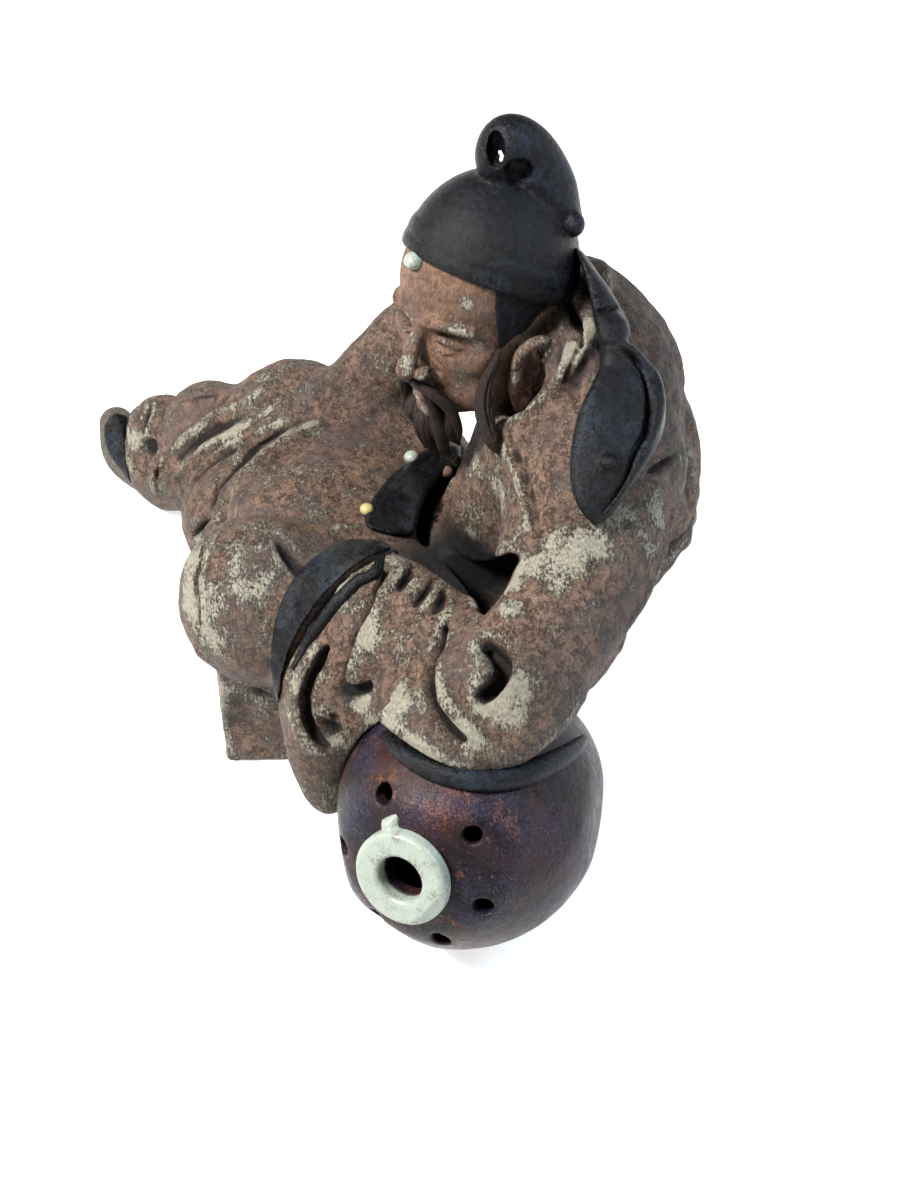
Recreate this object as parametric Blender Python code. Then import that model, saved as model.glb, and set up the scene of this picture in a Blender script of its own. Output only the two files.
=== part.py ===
"""A fired clay figurine: a seated sage in a scholar's cap, left elbow on a wine jar that lies on its side.

The figure faces -Y, its left is +X, and the jar lies on that side with its mouth turned to the front.
The sage is sculpted as a distance field: masses are blended, folds are carved or raised along curves that
are drawn onto the surface, and the skin of the field is meshed. The jar is turned on its own axis.
All places of the sculpture are shares of its height, written in parts (PART), 183 of them to the height.
"""
import math

import bmesh
import bpy
import numpy as np
import openvdb
from mathutils import Matrix, Vector

# Driving dimensions, in metres
HEIGHT = 0.183            # standing plane to the top of the cap's curl
JAR_RADIUS = 0.0339       # widest outer radius of the jar
JAR_LENGTH = 0.072        # base to the front of the mouth ring
JAR_WALL = 0.0042         # thickness of the thrown wall
MOUTH_BORE = 0.0120       # clear diameter of the jar's mouth
RING_DIAMETER = 0.0252    # outside of the glazed mouth ring
RING_DEPTH = 0.0040       # how far the ring stands off its seat
RING_EDGE = 0.0020        # rounding of the ring's outer edge
RING_LIP = 0.0008         # rounding of its inner edge
PIERCED_BORE = 0.0046     # small holes round the mouth
PIERCED_CIRCLE = 0.0400   # diameter of the circle that the holes lie on
RESTING_FLAT = 0.0007     # how far the jar's underside is rubbed flat
SEAM = 0.0005             # open seam between the sage and the jar
GRAIN = 0.0012            # spacing of the sculpting grid
SAGE_FACES = 7800         # faces that the sage keeps after thinning

PIERCED_ANGLES = (122, 48, -9, -58, -113, -172)   # degrees round the mouth, as punched by hand
PIERCED_SIDES = 10
PART = HEIGHT / 183.0     # one part of the sculpture's height
FAR = 9.0                 # parts: value of the field well away from the clay


def clear_scene():
    for old in list(bpy.data.objects):
        bpy.data.objects.remove(old, do_unlink=True)


def material(name, colour, roughness):
    made = bpy.data.materials.new(name)
    made.use_nodes = True
    shader = made.node_tree.nodes["Principled BSDF"]
    shader.inputs["Base Color"].default_value = (*colour, 1.0)
    shader.inputs["Roughness"].default_value = roughness
    shader.inputs["Metallic"].default_value = 0.0
    return made


# The sculpting field

def soft_min(a, b, blend):
    if blend <= 0:
        return np.minimum(a, b)
    near = np.maximum(blend - np.abs(a - b), 0.0) / blend
    return np.minimum(a, b) - near * near * blend * 0.25


def soft_max(a, b, blend):
    return -soft_min(-a, -b, blend)


def turned(degrees):
    """Rotation about X, then Y, then Z."""
    rx, ry, rz = (math.radians(angle) for angle in degrees)
    turn = Matrix.Rotation(rz, 3, "Z") @ Matrix.Rotation(ry, 3, "Y") @ Matrix.Rotation(rx, 3, "X")
    return np.array(turn)


def smooth_path(rows, steps=6):
    """Catmull-Rom curve through rows of numbers."""
    rows = np.asarray(rows, float)
    if len(rows) == 2 or steps == 1:
        return rows
    ends = np.vstack([2 * rows[0] - rows[1], rows, 2 * rows[-1] - rows[-2]])
    t = np.linspace(0, 1, steps, endpoint=False)[:, None]
    runs = []
    for a, b, c, d in zip(ends[:-3], ends[1:-2], ends[2:-1], ends[3:]):
        curve = 2 * b + (c - a) * t + (2 * a - 5 * b + 4 * c - d) * t ** 2 + (3 * b - a - 3 * c + d) * t ** 3
        runs.append(curve / 2)
    return np.vstack(runs + [rows[-1:]])


class Clay:
    """A block of clay: distances to the surface, negative inside, on a grid measured in parts."""

    def __init__(self, low, high, step):
        self.low = np.asarray(low, float)
        self.step = step
        self.axes = [np.arange(a, b + step, step, dtype=np.float32) for a, b in zip(low, high)]
        self.field = np.full([len(axis) for axis in self.axes], FAR, np.float32)
        self.stand_at((0, 0, 0))

    def stand_at(self, origin, turn=(0, 0, 0)):
        """Give the following forms in a local frame."""
        self.origin = np.asarray(origin, float)
        self.basis = turned(turn)

    def to_block(self, points):
        return np.asarray(points, float) @ self.basis.T + self.origin

    def window(self, low, high):
        cut = tuple(slice(*np.searchsorted(axis, (a, b))) for axis, a, b in zip(self.axes, low, high))
        x, y, z = (axis[part] for axis, part in zip(self.axes, cut))
        return cut, x[:, None, None], y[None, :, None], z[None, None, :]

    def egg_field(self, centre, radii, turn, margin):
        basis = self.basis @ turned(turn)
        centre = self.to_block(centre)
        reach = np.sqrt(((basis * np.asarray(radii)) ** 2).sum(1)) + margin
        cut, x, y, z = self.window(centre - reach, centre + reach)
        local = [(x - centre[0]) * basis[0, i] + (y - centre[1]) * basis[1, i] + (z - centre[2]) * basis[2, i]
                 for i in range(3)]
        near = np.sqrt(sum((local[i] / radii[i]) ** 2 for i in range(3)))
        slope = np.sqrt(sum((local[i] / radii[i] ** 2) ** 2 for i in range(3))) + 1e-6
        return cut, near * (near - 1) / slope

    def slab_field(self, centre, half, turn, edge, margin):
        basis = self.basis @ turned(turn)
        centre = self.to_block(centre)
        reach = np.abs(basis) @ np.asarray(half, float) + margin
        cut, x, y, z = self.window(centre - reach, centre + reach)
        over = [np.abs((x - centre[0]) * basis[0, i] + (y - centre[1]) * basis[1, i]
                       + (z - centre[2]) * basis[2, i]) - (half[i] - edge) for i in range(3)]
        outside = np.sqrt(sum(np.maximum(side, 0) ** 2 for side in over))
        inside = np.minimum(np.maximum(np.maximum(over[0], over[1]), over[2]), 0)
        return cut, outside + inside - edge

    def limb_field(self, points, radii, thin, up, steps, margin):
        """A tube along points. With thin and up its section is an ellipse, thin being the half size along up."""
        count = len(points)
        radii = np.broadcast_to(np.asarray(radii, float), (count,))
        thin = radii if thin is None else np.broadcast_to(np.asarray(thin, float), (count,))
        path = smooth_path(np.column_stack([points, radii, thin]), steps)
        reach = path[:, 3].max() + margin
        cut, x, y, z = self.window(path[:, :3].min(0) - reach, path[:, :3].max(0) + reach)
        result = np.full([x.shape[0], y.shape[1], z.shape[2]], FAR, np.float32)
        for a, b in zip(path[:-1], path[1:]):
            reach = max(a[3], b[3]) + margin
            part, x, y, z = self.window(np.minimum(a[:3], b[:3]) - reach, np.maximum(a[:3], b[:3]) + reach)
            run = b[:3] - a[:3]
            length = float(run @ run) + 1e-9
            x, y, z = x - a[0], y - a[1], z - a[2]
            along = np.clip((x * run[0] + y * run[1] + z * run[2]) / length, 0, 1)
            x, y, z = x - along * run[0], y - along * run[1], z - along * run[2]
            width = a[3] + along * (b[3] - a[3])
            square = x * x + y * y + z * z
            if up is None:
                gap = np.sqrt(square) - width
            else:
                lift = up - (up @ run) * run / length
                lift = lift / (np.linalg.norm(lift) + 1e-9)
                height = a[4] + along * (b[4] - a[4])
                rise = (x * lift[0] + y * lift[1] + z * lift[2]) ** 2
                across = np.maximum(square - rise, 0)
                near = np.sqrt(across / width ** 2 + rise / height ** 2)
                slope = np.sqrt(across / width ** 4 + rise / height ** 4) + 1e-6
                gap = near * (near - 1) / slope
            spot = tuple(slice(s.start - c.start, s.stop - c.start) for s, c in zip(part, cut))
            result[spot] = np.minimum(result[spot], gap)
        return cut, result

    def plane(self, cut, point, normal):
        """Distance past a plane through point, on a window of the block."""
        point = self.to_block(point)
        normal = self.basis @ (np.asarray(normal, float) / np.linalg.norm(normal))
        x, y, z = (axis[part] for axis, part in zip(self.axes, cut))
        return ((x - point[0])[:, None, None] * normal[0] + (y - point[1])[None, :, None] * normal[1]
                + (z - point[2])[None, None, :] * normal[2])

    def join(self, piece, blend, carve):
        cut, form = piece
        if carve:
            self.field[cut] = soft_max(self.field[cut], -form, blend)
        else:
            self.field[cut] = soft_min(self.field[cut], form, blend)

    def egg(self, centre, radii, turn=(0, 0, 0), blend=0.0, carve=False):
        self.join(self.egg_field(centre, radii, turn, blend + 3), blend, carve)

    def slab(self, centre, half, turn=(0, 0, 0), edge=1.0, blend=0.0, carve=False):
        self.join(self.slab_field(centre, half, turn, edge, blend + 3), blend, carve)

    def limb(self, points, radii, thin=None, up=None, blend=0.0, carve=False, steps=6):
        if up is not None:
            up = self.basis @ np.asarray(up, float)
        points = self.to_block(points)
        self.join(self.limb_field(points, radii, thin, up, steps, blend + 3), blend, carve)

    def read(self, points):
        spot = np.clip((points - self.low) / self.step, 0, np.array(self.field.shape) - 1.001)
        base = spot.astype(int)
        part = spot - base
        total = 0
        for corner in np.ndindex(2, 2, 2):
            weight = np.prod(np.where(corner, part, 1 - part), axis=-1)
            total = total + weight * self.field[tuple((base + corner).T)]
        return total

    def outward(self, points):
        ways = np.eye(3) * self.step
        slope = np.stack([self.read(points + way) - self.read(points - way) for way in ways], -1)
        return slope / (np.linalg.norm(slope, axis=-1, keepdims=True) + 1e-9)

    def on_surface(self, points):
        for _ in range(12):
            points = points - self.outward(points) * np.clip(self.read(points), -2.5, 2.5)[:, None]
        return points

    def slice_off(self, point, normal, blend, low, high):
        """Take off what lies past a plane, inside a box."""
        cut = self.window(low, high)[0]
        self.field[cut] = soft_max(self.field[cut], self.plane(cut, point, normal), blend)

    def stroke(self, points, width, depth, blend=0.8, steps=6):
        """Draw a curve onto the surface: a groove of this depth, or a raised roll where depth is negative."""
        path = self.on_surface(smooth_path(self.to_block(points), steps))
        fade = np.sqrt(np.sin(np.pi * np.linspace(0.03, 0.97, len(path))))
        away = self.outward(path)
        if depth <= 0:
            radii = np.maximum(width / 2 * fade, 0.05)
            centre = path - away * (radii + depth * fade)[:, None]
            self.join(self.limb_field(centre, radii, None, None, 1, blend + 3), blend, False)
            return
        layers = math.ceil(depth / width * 2)
        cuts = []
        for layer in range(layers):
            share = (layer + 1) / layers
            radii = np.maximum(width / 2 * fade * (1 - 0.3 * share * (layers > 1)), 0.05)
            centre = path + away * (radii - depth * share * fade)[:, None]
            cuts.append(self.limb_field(centre, radii, None, None, 1, blend + 5))
        for cut in cuts:
            self.join(cut, blend, True)

    def cut_floor(self):
        self.field = np.maximum(self.field, -self.axes[2][None, None, :])

    def skin(self, name):
        """Mesh the surface and put it in the scene, in metres."""
        field = np.clip(self.field, -FAR, FAR)
        grid = openvdb.FloatGrid(background=FAR)
        grid.copyFromArray(field, tolerance=0.0)
        points, triangles, quads = grid.convertToPolygons(isovalue=0.0, adaptivity=0.0)
        points = (points * self.step + self.low) * PART
        faces = triangles.tolist() + quads.tolist()
        mesh = bpy.data.meshes.new(name)
        mesh.from_pydata(points.tolist(), [], faces)
        made = bpy.data.objects.new(name, mesh)
        bpy.context.scene.collection.objects.link(made)
        return made


# The sage

BELLY = (10, -12.6, 64)         # a point of the chest's sloping front, and the way it faces
BELLY_FACES = (0, -0.95, 0.312)
BREAST = (11, -6.6, 82)         # the same where the chest turns away to the right
BREAST_FACES = (-0.4, -0.88, 0.25)


def body_masses(clay):
    clay.egg((0, 10, 20), (40, 36, 32), blend=4)
    clay.egg((0, 24, 71), (36, 39, 48), turn=(8, 0, 0), blend=10)
    clay.egg((4, 26, 112), (32, 22, 26), turn=(24, 0, 0), blend=10)
    clay.egg((17, 15, 72), (24, 25, 38), turn=(6, 0, 0), blend=7)
    clay.egg((32, 26, 102), (20, 22, 20), blend=8)
    clay.egg((-28, 20, 98), (18, 19, 18), blend=8)
    clay.limb([(4, 22, 110), (8, 10, 124)], [16, 12], blend=5)
    for point, faces in ((BELLY, BELLY_FACES), (BREAST, BREAST_FACES)):
        clay.slice_off(point, faces, 4, (-60, -70, 40), (60, 60, 140))


def legs(clay):
    clay.limb([(-14, 4, 24), (-41, -32, 39), (-60, -58, 40)], [22, 24.5, 22], blend=8)
    clay.limb([(-60, -58, 38), (-68, -82, 24), (-76, -101, 15)], [22, 20, 17], blend=6)
    clay.egg((-44, -62, 18), (30, 34, 26), blend=6)
    clay.egg((-70, -88, 33), (17, 15, 15), blend=5)
    clay.egg((2, -38, 20), (40, 28, 30), blend=6)
    clay.limb([(20, 2, 28), (31, -32, 42), (40, -58, 54)], [24, 24, 22], blend=8)
    clay.egg((41, -62, 58), (21, 21, 23), blend=6)
    clay.egg((2, -44, 42), (48, 32, 27), blend=8)
    clay.slab((39, -64, 18), (9.5, 10.5, 24), edge=2, blend=4)


def shoe(clay):
    clay.limb([(-76, -106, 11), (-86, -119, 11), (-90, -123, 20)], [11, 9, 6], blend=3)


def right_sleeve(clay):
    clay.limb([(-28, 18, 100), (-48, 4, 88), (-56, -14, 80), (-54, -30, 66), (-50, -46, 52)],
              [17, 14, 14, 13, 11], blend=6)


def left_sleeve(clay):
    clay.limb([(34, 30, 98), (64, 22, 86), (93, 7, 77)], [23, 20, 16], blend=8)
    clay.limb([(96, 6, 74), (80, -9, 66), (65, -32, 60)], [18, 20, 29], thin=[17, 16, 14],
              up=(0.53, -0.69, 0.5), blend=5)
    clay.egg((98, -8, 68), (18, 18, 12), blend=6)
    clay.egg((44, -6, 62), (12, 13, 17), turn=(20, 0, 0), blend=4, carve=True)
    clay.limb([(72, -40, 50), (80, -42, 38), (86, -41, 28)], [14, 10, 6], blend=5)


HEAD = (8, 0, 141)          # parts: middle of the skull
HEAD_TURN = 43              # degrees that the face is turned to the figure's left
EAR = (18.6, -3.4, -19.5)   # middle of the ear's base, in the head's frame
CAP_RIM = (0, 0, 0.5)       # a point of the cap's rim, and the way that its plane leans
CAP_LEAN = (0, 0.55, 1)


def head(clay):
    clay.stand_at(HEAD, (0, 0, HEAD_TURN))
    clay.egg((0, 2, 0), (20, 23, 25), blend=4)
    clay.egg((0, -7, -15), (15, 15, 23), blend=6)
    clay.egg((0, -8, -29), (9, 11, 7), blend=5)
    nose_and_brow(clay)
    for side in (-1, 1):
        ear(clay, side)
    cap(clay)
    beard(clay)
    clay.stand_at((0, 0, 0))


def nose_and_brow(clay):
    clay.limb([(0, -21, -5), (0, -24.5, -12), (0, -27, -17)], [1.6, 2.2, 3.0], blend=2)
    for side in (-1, 1):
        clay.egg((side * 3, -23.5, -17), (1.8, 2.4, 1.7), blend=1)
        clay.limb([(side * 2, -23, -4.5), (side * 8, -21.5, -3), (side * 14, -15.5, -5)], 1.7, blend=2)
        clay.egg((side * 7.5, -22, -9), (4.6, 3, 3), blend=1.5, carve=True)
        clay.egg((side * 7.5, -18.6, -9.2), (3.8, 2.6, 2.4), blend=0.6)
        clay.egg((side * 10, -15, -19), (5.5, 5, 5), blend=4)
    clay.limb([(-4, -22, -24.5), (0, -23.4, -24.2), (4, -22, -24.5)], 1.3, blend=1)


def ear(clay, side):
    x, y, z = EAR
    clay.egg((side * x, y, z), (2.8, 5.6, 9.8), turn=(-12, 0, side * 14), blend=0.8)
    clay.limb([(side * (x + 1.4), y - 4.5, z + 4), (side * (x + 2.8), y - 3, z + 8.6), (side * (x + 4), y + 1.5, z + 9.8),
               (side * (x + 4.4), y + 5.3, z + 6.4), (side * (x + 2.4), y + 3, z - 5.4)], 1.6, blend=0.7)
    clay.egg((side * (x + 4), y - 0.2, z + 1.6), (2.4, 3.1, 5.4), turn=(-12, 0, side * 14), blend=0.6, carve=True)
    clay.egg((side * (x + 1.4), y - 0.9, z - 8.6), (2.5, 3.3, 3.8), blend=1.2)


def cap(clay):
    cut, form = clay.egg_field((0, 2, 0), (22, 25, 26.5), (0, 0, 0), 4)
    clay.join((cut, soft_max(form, -clay.plane(cut, CAP_RIM, CAP_LEAN), 1.2)), 0.4, False)
    cut, form = clay.egg_field((0, 2, 0), (22.7, 25.7, 27.2), (0, 0, 0), 4)
    middle = (0, 0, CAP_RIM[2] + 2.4)
    band = np.abs(clay.plane(cut, middle, CAP_LEAN)) - 1.6
    clay.join((cut, soft_max(form, band, 1)), 0.6, False)
    clay.egg((18.6, -5, -3), (2.6, 6.5, 7), blend=1)
    clay.egg((-18.6, -5, -3), (2.6, 6.5, 7), blend=1)
    clay.egg((0, -22.6, 12.5), (2.6, 2.4, 2.9), blend=0.2)
    clay.stand_at((0, 0, 0))
    clay.limb([(3, 17, 154), (3, 15.6, 163), (3, 11, 171.5), (4, 6.2, 176.1), (5, 3.6, 173.6), (5.5, 2.6, 169)],
              [8, 7.4, 7.2, 7, 6.2, 4.6], blend=1.5)
    clay.limb([(12, 2, 173.5), (5.6, 2.7, 172.5), (1.6, 2.7, 170.5)], [2.4, 2.4, 1.6], blend=0.8, carve=True)
    clay.egg((6.8, 12, 167), (6, 6.5, 5), turn=(-40, 0, 0), blend=1.6, carve=True)
    clay.egg((11.5, 22.3, 157), (3.4, 2.8, 3.2), blend=0.5)
    clay.stand_at(HEAD, (0, 0, HEAD_TURN))


def beard(clay):
    locks = [((0, -20, -34), (1, -20, -43), (0, -16, -51), 3.4), ((-4, -19, -32), (-5, -20, -41), (-6, -17, -48), 2.6),
             ((3.5, -19, -33), (4, -18, -41), (3, -15, -47), 2.2), ((-7, -17, -30), (-9, -18, -37), (-10, -17, -44), 2.2)]
    for root, bend, tip, size in locks:
        clay.limb([root, bend, tip], [size, size * 0.8, 0.7], blend=1.2)
    for side in (-1, 1):
        clay.limb([(side * 1.5, -24.5, -22), (side * 6, -22.5, -24.5), (side * 9, -19.5, -30), (side * 9.5, -18.5, -36)],
                  [1.5, 1.9, 1.6, 0.6], blend=0.8)
    clay.stand_at((0, 0, 0))
    clay.limb([(24, -2, 119), (26, 0, 110), (30, 4, 99)], [1.8, 2.8, 0.8], blend=0.5)
    clay.stand_at(HEAD, (0, 0, HEAD_TURN))


def collar(clay):
    clay.limb([(33, 3, 106), (33, 13, 115), (27, 23, 125), (14, 29, 130), (0, 29, 130), (-12, 23, 121), (-18, 10, 110)],
              [3, 6, 8, 8, 8, 7, 4], thin=2.6, up=(0.3, 0.75, -0.2), blend=2.5)
    clay.limb([(24, 6, 112), (25, 13, 121), (20, 20, 128), (8, 24, 131), (-4, 21, 128), (-8, 8, 118)],
              [3, 5, 6, 6, 5, 3], thin=1.6, up=(0.3, 0.7, -0.1), blend=1)


def ribbons(clay):
    clay.limb([(9, 22, 148), (19, 27, 143), (27, 31, 138)], [3, 3.5, 4], thin=2.2, up=(0.5, 0.6, 0.6), blend=1)
    clay.egg((29, 31, 137), (5, 4, 4), blend=1)
    clay.egg((34, 32, 132), (5, 4.5, 4), blend=1)
    clay.limb([(35, 33, 129), (43, 33, 127), (52, 32, 121), (60, 28, 115), (67, 26, 108)],
              [5, 9, 11.5, 10, 4], thin=[3, 4.5, 5, 5, 2], up=(0.45, 0.3, 0.84), blend=1)


def belt(clay):
    clay.limb([(34, -27, 60), (20, -28, 64.5), (10, -24, 65), (0, -18.4, 64.5), (-12, -11, 62), (-20, -4, 59.5),
               (-34, 14, 56)], [4.4, 4.6, 4.8, 4.8, 4.6, 4.4, 4], thin=2.8, up=(0.1, -0.45, 0.9), blend=0.8)
    for stud in clay.on_surface(np.array(((-18.2, -20.7, 60.2), (15.6, -32.4, 67.4), (4, -14.5, 67.0)))):
        clay.egg(stud, (2.2, 2.2, 2.2), blend=0.3)


def robe_folds(clay):
    clay.stroke([(-71, -108, 32), (-72, -91, 43), (-56, -72, 58)], 6, -1.6, blend=3)
    clay.stroke([(-61, -102, 29), (-54, -82, 46), (-51, -58, 64)], 6, -1.6, blend=3)
    clay.stroke([(-56, -97, 23), (-45, -75, 47), (-43, -55, 62)], 6, -1.4, blend=3)
    clay.stroke([(-66, -105, 30), (-63, -86, 45), (-54, -66, 61)], 4, 1.4, blend=2)
    clay.stroke([(-48, -88, 20), (-45, -77, 33), (-40, -67, 49), (-37, -57, 60)], 5, -2.2, blend=1.5)
    clay.stroke([(34, -84, 74), (40, -86, 62), (42, -85, 50), (42, -82, 40)], 1.8, 2.4, blend=0.4)
    clay.stroke([(-51, -90, 22), (-48, -79, 35), (-43, -68, 51)], 3, 1.8, blend=1)
    clay.egg((-66, -110, 27), (4, 4, 4), blend=1.5, carve=True)
    clay.stroke([(-63, -106, 27), (-62, -108, 20), (-63, -109, 10)], 2.2, 2.2, blend=0.6)
    clay.stroke([(40, -76, 77), (50, -78, 71), (56, -76, 62)], 1.8, 2.6, blend=0.4)
    clay.stroke([(42, -52, 80), (52, -47, 76)], 6, 3, blend=3)
    clay.stroke([(36, 4, 112), (42, 6, 107), (50, 8, 106), (56, 10, 100)], 5, -1.6, blend=3)
    clay.stroke([(57, 41, 113), (47, 46, 109), (42, 50, 108)], 1.8, 1.2, blend=0.6)
    for across in (-24, -6, 12):
        clay.stroke([(across, 46, 112), (across * 1.1, 62, 84), (across * 1.2, 60, 50), (across * 1.3, 46, 14)],
                    7, 1.5, blend=4)


def sleeve_folds(clay):
    clay.stroke([(34, -34, 73), (49, -42, 79), (57, -48, 72), (63, -53, 62), (66, -56, 48)], 4.5, 3, blend=1)
    clay.stroke([(56, -20, 88), (62, -33, 84), (64, -42, 76), (68, -50, 64), (75, -54, 54)], 2.4, 2.0, blend=0.8)
    clay.stroke([(52, -22, 88), (58, -35, 84), (60, -44, 76), (64, -52, 64), (70, -56, 52)], 3.2, -1.2, blend=1.2)
    clay.stroke([(64, -28, 83), (70, -31, 78), (76, -35, 71), (80, -36, 65), (83, -33, 62), (84, -29, 65)], 3.4, 3.6)
    clay.stroke([(74, -43, 66), (80, -45, 61), (83, -46, 55), (86, -43, 51), (88, -39, 47)], 3.4, 3.6)
    clay.egg((86, -38, 54), (3.5, 4, 2.6), turn=(0, 30, 0), blend=1.5, carve=True)
    clay.stroke([(81, -9, 85), (90, -11, 83), (97, -13, 81), (105, -12, 79), (110, -7, 77), (113, -3, 75)], 4.2, 4.5)
    clay.stroke([(89, 2, 94), (97, 3, 93), (103, 4, 92), (105, 1, 89), (104, -3, 87)], 6, 6.5, blend=1.5)
    for fold in ([(58, -24, 85), (64, -21, 85), (70, -17, 84)], [(62, -19, 85), (68, -16, 84), (76, -13, 84)],
                 [(67, -15, 85), (74, -12, 84), (83, -8, 85)]):
        clay.stroke(fold, 3.2, 1.8, blend=1.5)
    clay.egg((88, 7, 96), (4, 3.2, 2.4), blend=1)
    clay.stroke([(100, -26, 71), (90, -26, 68), (86, -27, 70)], 4, 2.5, blend=1)


def roll(clay):
    """The glazed roll of cloth that lies on the jar under the sleeve."""
    clay.limb([(97, -27, 62), (106, -22, 65), (112, -17, 66), (117, -9, 66), (117, 0, 65), (114, 9, 64), (107, 17, 61)],
              [1.4, 2.8, 3.4, 3.6, 3.4, 2.6, 1.2], blend=0.6)


def thin(made, faces):
    """Spend the faces where the surface bends."""
    made.data.calc_loop_triangles()
    modifier = made.modifiers.new("thin", "DECIMATE")
    modifier.ratio = faces / len(made.data.loop_triangles)
    bpy.context.view_layer.update()
    evaluated = made.evaluated_get(bpy.context.evaluated_depsgraph_get())
    mesh = bpy.data.meshes.new_from_object(evaluated)
    made.modifiers.clear()
    made.data = mesh


def drop_crumbs(mesh):
    """Keep the largest body alone."""
    shape = bmesh.new()
    shape.from_mesh(mesh)
    left = set(shape.verts)
    bodies = []
    while left:
        reached = [left.pop()]
        for vertex in reached:
            beside = {edge.other_vert(vertex) for edge in vertex.link_edges} & left
            left -= beside
            reached.extend(beside)
        bodies.append(reached)
    bodies.sort(key=len)
    bmesh.ops.delete(shape, geom=[vertex for body in bodies[:-1] for vertex in body], context="VERTS")
    shape.to_mesh(mesh)
    shape.free()


def press_flat(mesh):
    """Bring what lies within a fifth of a part of the ground onto it."""
    for vertex in mesh.vertices:
        if vertex.co.z < 0.2 * PART:
            vertex.co.z = 0.0


def make_sage(paint):
    clay = sculpt_sage()
    clay.cut_floor()
    sage = clay.skin("sage")
    drop_crumbs(sage.data)
    thin(sage, SAGE_FACES)
    drop_crumbs(sage.data)
    press_flat(sage.data)
    sage.data.materials.append(paint)
    return sage


def sculpt_sage():
    clay = Clay((-106, -142, -8), (128, 76, 190), GRAIN / PART)
    body_masses(clay)
    legs(clay)
    shoe(clay)
    right_sleeve(clay)
    belt(clay)
    left_sleeve(clay)
    collar(clay)
    head(clay)
    ribbons(clay)
    robe_folds(clay)
    sleeve_folds(clay)
    roll(clay)
    clay.field = np.maximum(clay.field, SEAM / PART - jar_field(clay))
    return clay


# The wine jar

JAR_STANDS = (98, -4)       # parts: where the widest circle's centre stands over the floor
JAR_TURN = 61               # degrees from the front toward the figure's left
JAR_TILT = 17               # degrees that the mouth is raised
JAR_SIDES = 36
JAR_AXIS = (math.sin(math.radians(JAR_TURN)) * math.cos(math.radians(JAR_TILT)),
            -math.cos(math.radians(JAR_TURN)) * math.cos(math.radians(JAR_TILT)), math.sin(math.radians(JAR_TILT)))
BODY_LENGTH = JAR_LENGTH - RING_DEPTH   # base to the seat of the mouth ring
BODY_BACK = BODY_LENGTH * 0.51          # base to the widest circle


def jar_outline():
    """Place along the axis from the widest circle, and outer radius, from base to ring seat, in metres."""
    shares = [(0.0, 0.66), (0.04, 0.72), (0.18, 0.86), (0.35, 0.97), (0.51, 1.0), (0.66, 0.965), (0.80, 0.85),
              (0.90, 0.72), (0.97, 0.56)]
    rows = [(share * BODY_LENGTH - BODY_BACK, wide * JAR_RADIUS) for share, wide in shares]
    rows.append((BODY_LENGTH - BODY_BACK, RING_DIAMETER / 2 - RING_LIP))
    return rows


def jar_field(clay):
    """Distance to the jar's outer skin, in parts, over the whole block."""
    rows = np.array(jar_outline()) / PART
    x, y, z = (axis - at for axis, at in zip(clay.axes, (*JAR_STANDS, JAR_RADIUS / PART)))
    x, y, z = x[:, None, None], y[None, :, None], z[None, None, :]
    along = x * JAR_AXIS[0] + y * JAR_AXIS[1] + z * JAR_AXIS[2]
    away = np.sqrt(np.maximum(x * x + y * y + z * z - along * along, 0))
    radius = np.interp(along, rows[:, 0], rows[:, 1])
    slope = np.interp(along, rows[:, 0], np.gradient(rows[:, 1], rows[:, 0]))
    side = (away - radius) / np.sqrt(1 + slope * slope)
    return np.maximum(side, np.maximum(rows[0, 0] - along, along - rows[-1, 0]))


def cut_with(target, cutter, operation="DIFFERENCE"):
    """Cut now and drop the cutter."""
    modifier = target.modifiers.new("cut", "BOOLEAN")
    modifier.operation = operation
    modifier.object = cutter
    bpy.context.view_layer.update()
    evaluated = target.evaluated_get(bpy.context.evaluated_depsgraph_get())
    done = bpy.data.meshes.new_from_object(evaluated)
    target.modifiers.clear()
    target.data = done
    bpy.data.objects.remove(cutter, do_unlink=True)


def add_object(name, mesh):
    made = bpy.data.objects.new(name, mesh)
    bpy.context.scene.collection.objects.link(made)
    return made


def lathe(name, rows, sides):
    """Turn (place, radius) rows about the Z axis. The first and last rows lie on the axis."""
    shape = bmesh.new()
    verts = [shape.verts.new((radius, 0, along)) for along, radius in rows]
    edges = [shape.edges.new(pair) for pair in zip(verts, verts[1:])]
    bmesh.ops.spin(shape, geom=verts + edges, axis=(0, 0, 1), cent=(0, 0, 0), angle=math.tau, steps=sides,
                   use_merge=True)
    bmesh.ops.remove_doubles(shape, verts=shape.verts, dist=1e-6)
    bmesh.ops.recalc_face_normals(shape, faces=shape.faces)
    mesh = bpy.data.meshes.new(name)
    shape.to_mesh(mesh)
    shape.free()
    return add_object(name, mesh)


def jar_profile():
    """The whole wall: outside from base to ring, over the ring, down the bore and round the inside."""
    outside = jar_outline()
    seat = outside[-1][0]
    tip = JAR_LENGTH - BODY_BACK
    ring = RING_DIAMETER / 2
    bore = MOUTH_BORE / 2
    lip = [(seat + RING_LIP, ring), (tip - RING_EDGE, ring), (tip - RING_LIP, ring - RING_EDGE),
           (tip, ring - 2 * RING_EDGE), (tip - RING_LIP, bore + RING_LIP), (tip - RING_EDGE, bore)]
    inside = [(along, radius - JAR_WALL) for along, radius in outside[2:-2]]
    ceiling = outside[-2][0] - JAR_WALL * 0.4
    inside.append((ceiling, bore))
    floor = outside[0][0] + JAR_WALL
    inner = [(floor, 0.0), (floor, outside[1][1] - JAR_WALL)] + inside
    return [(outside[0][0], 0.0)] + outside + lip + inner[::-1]


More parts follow.
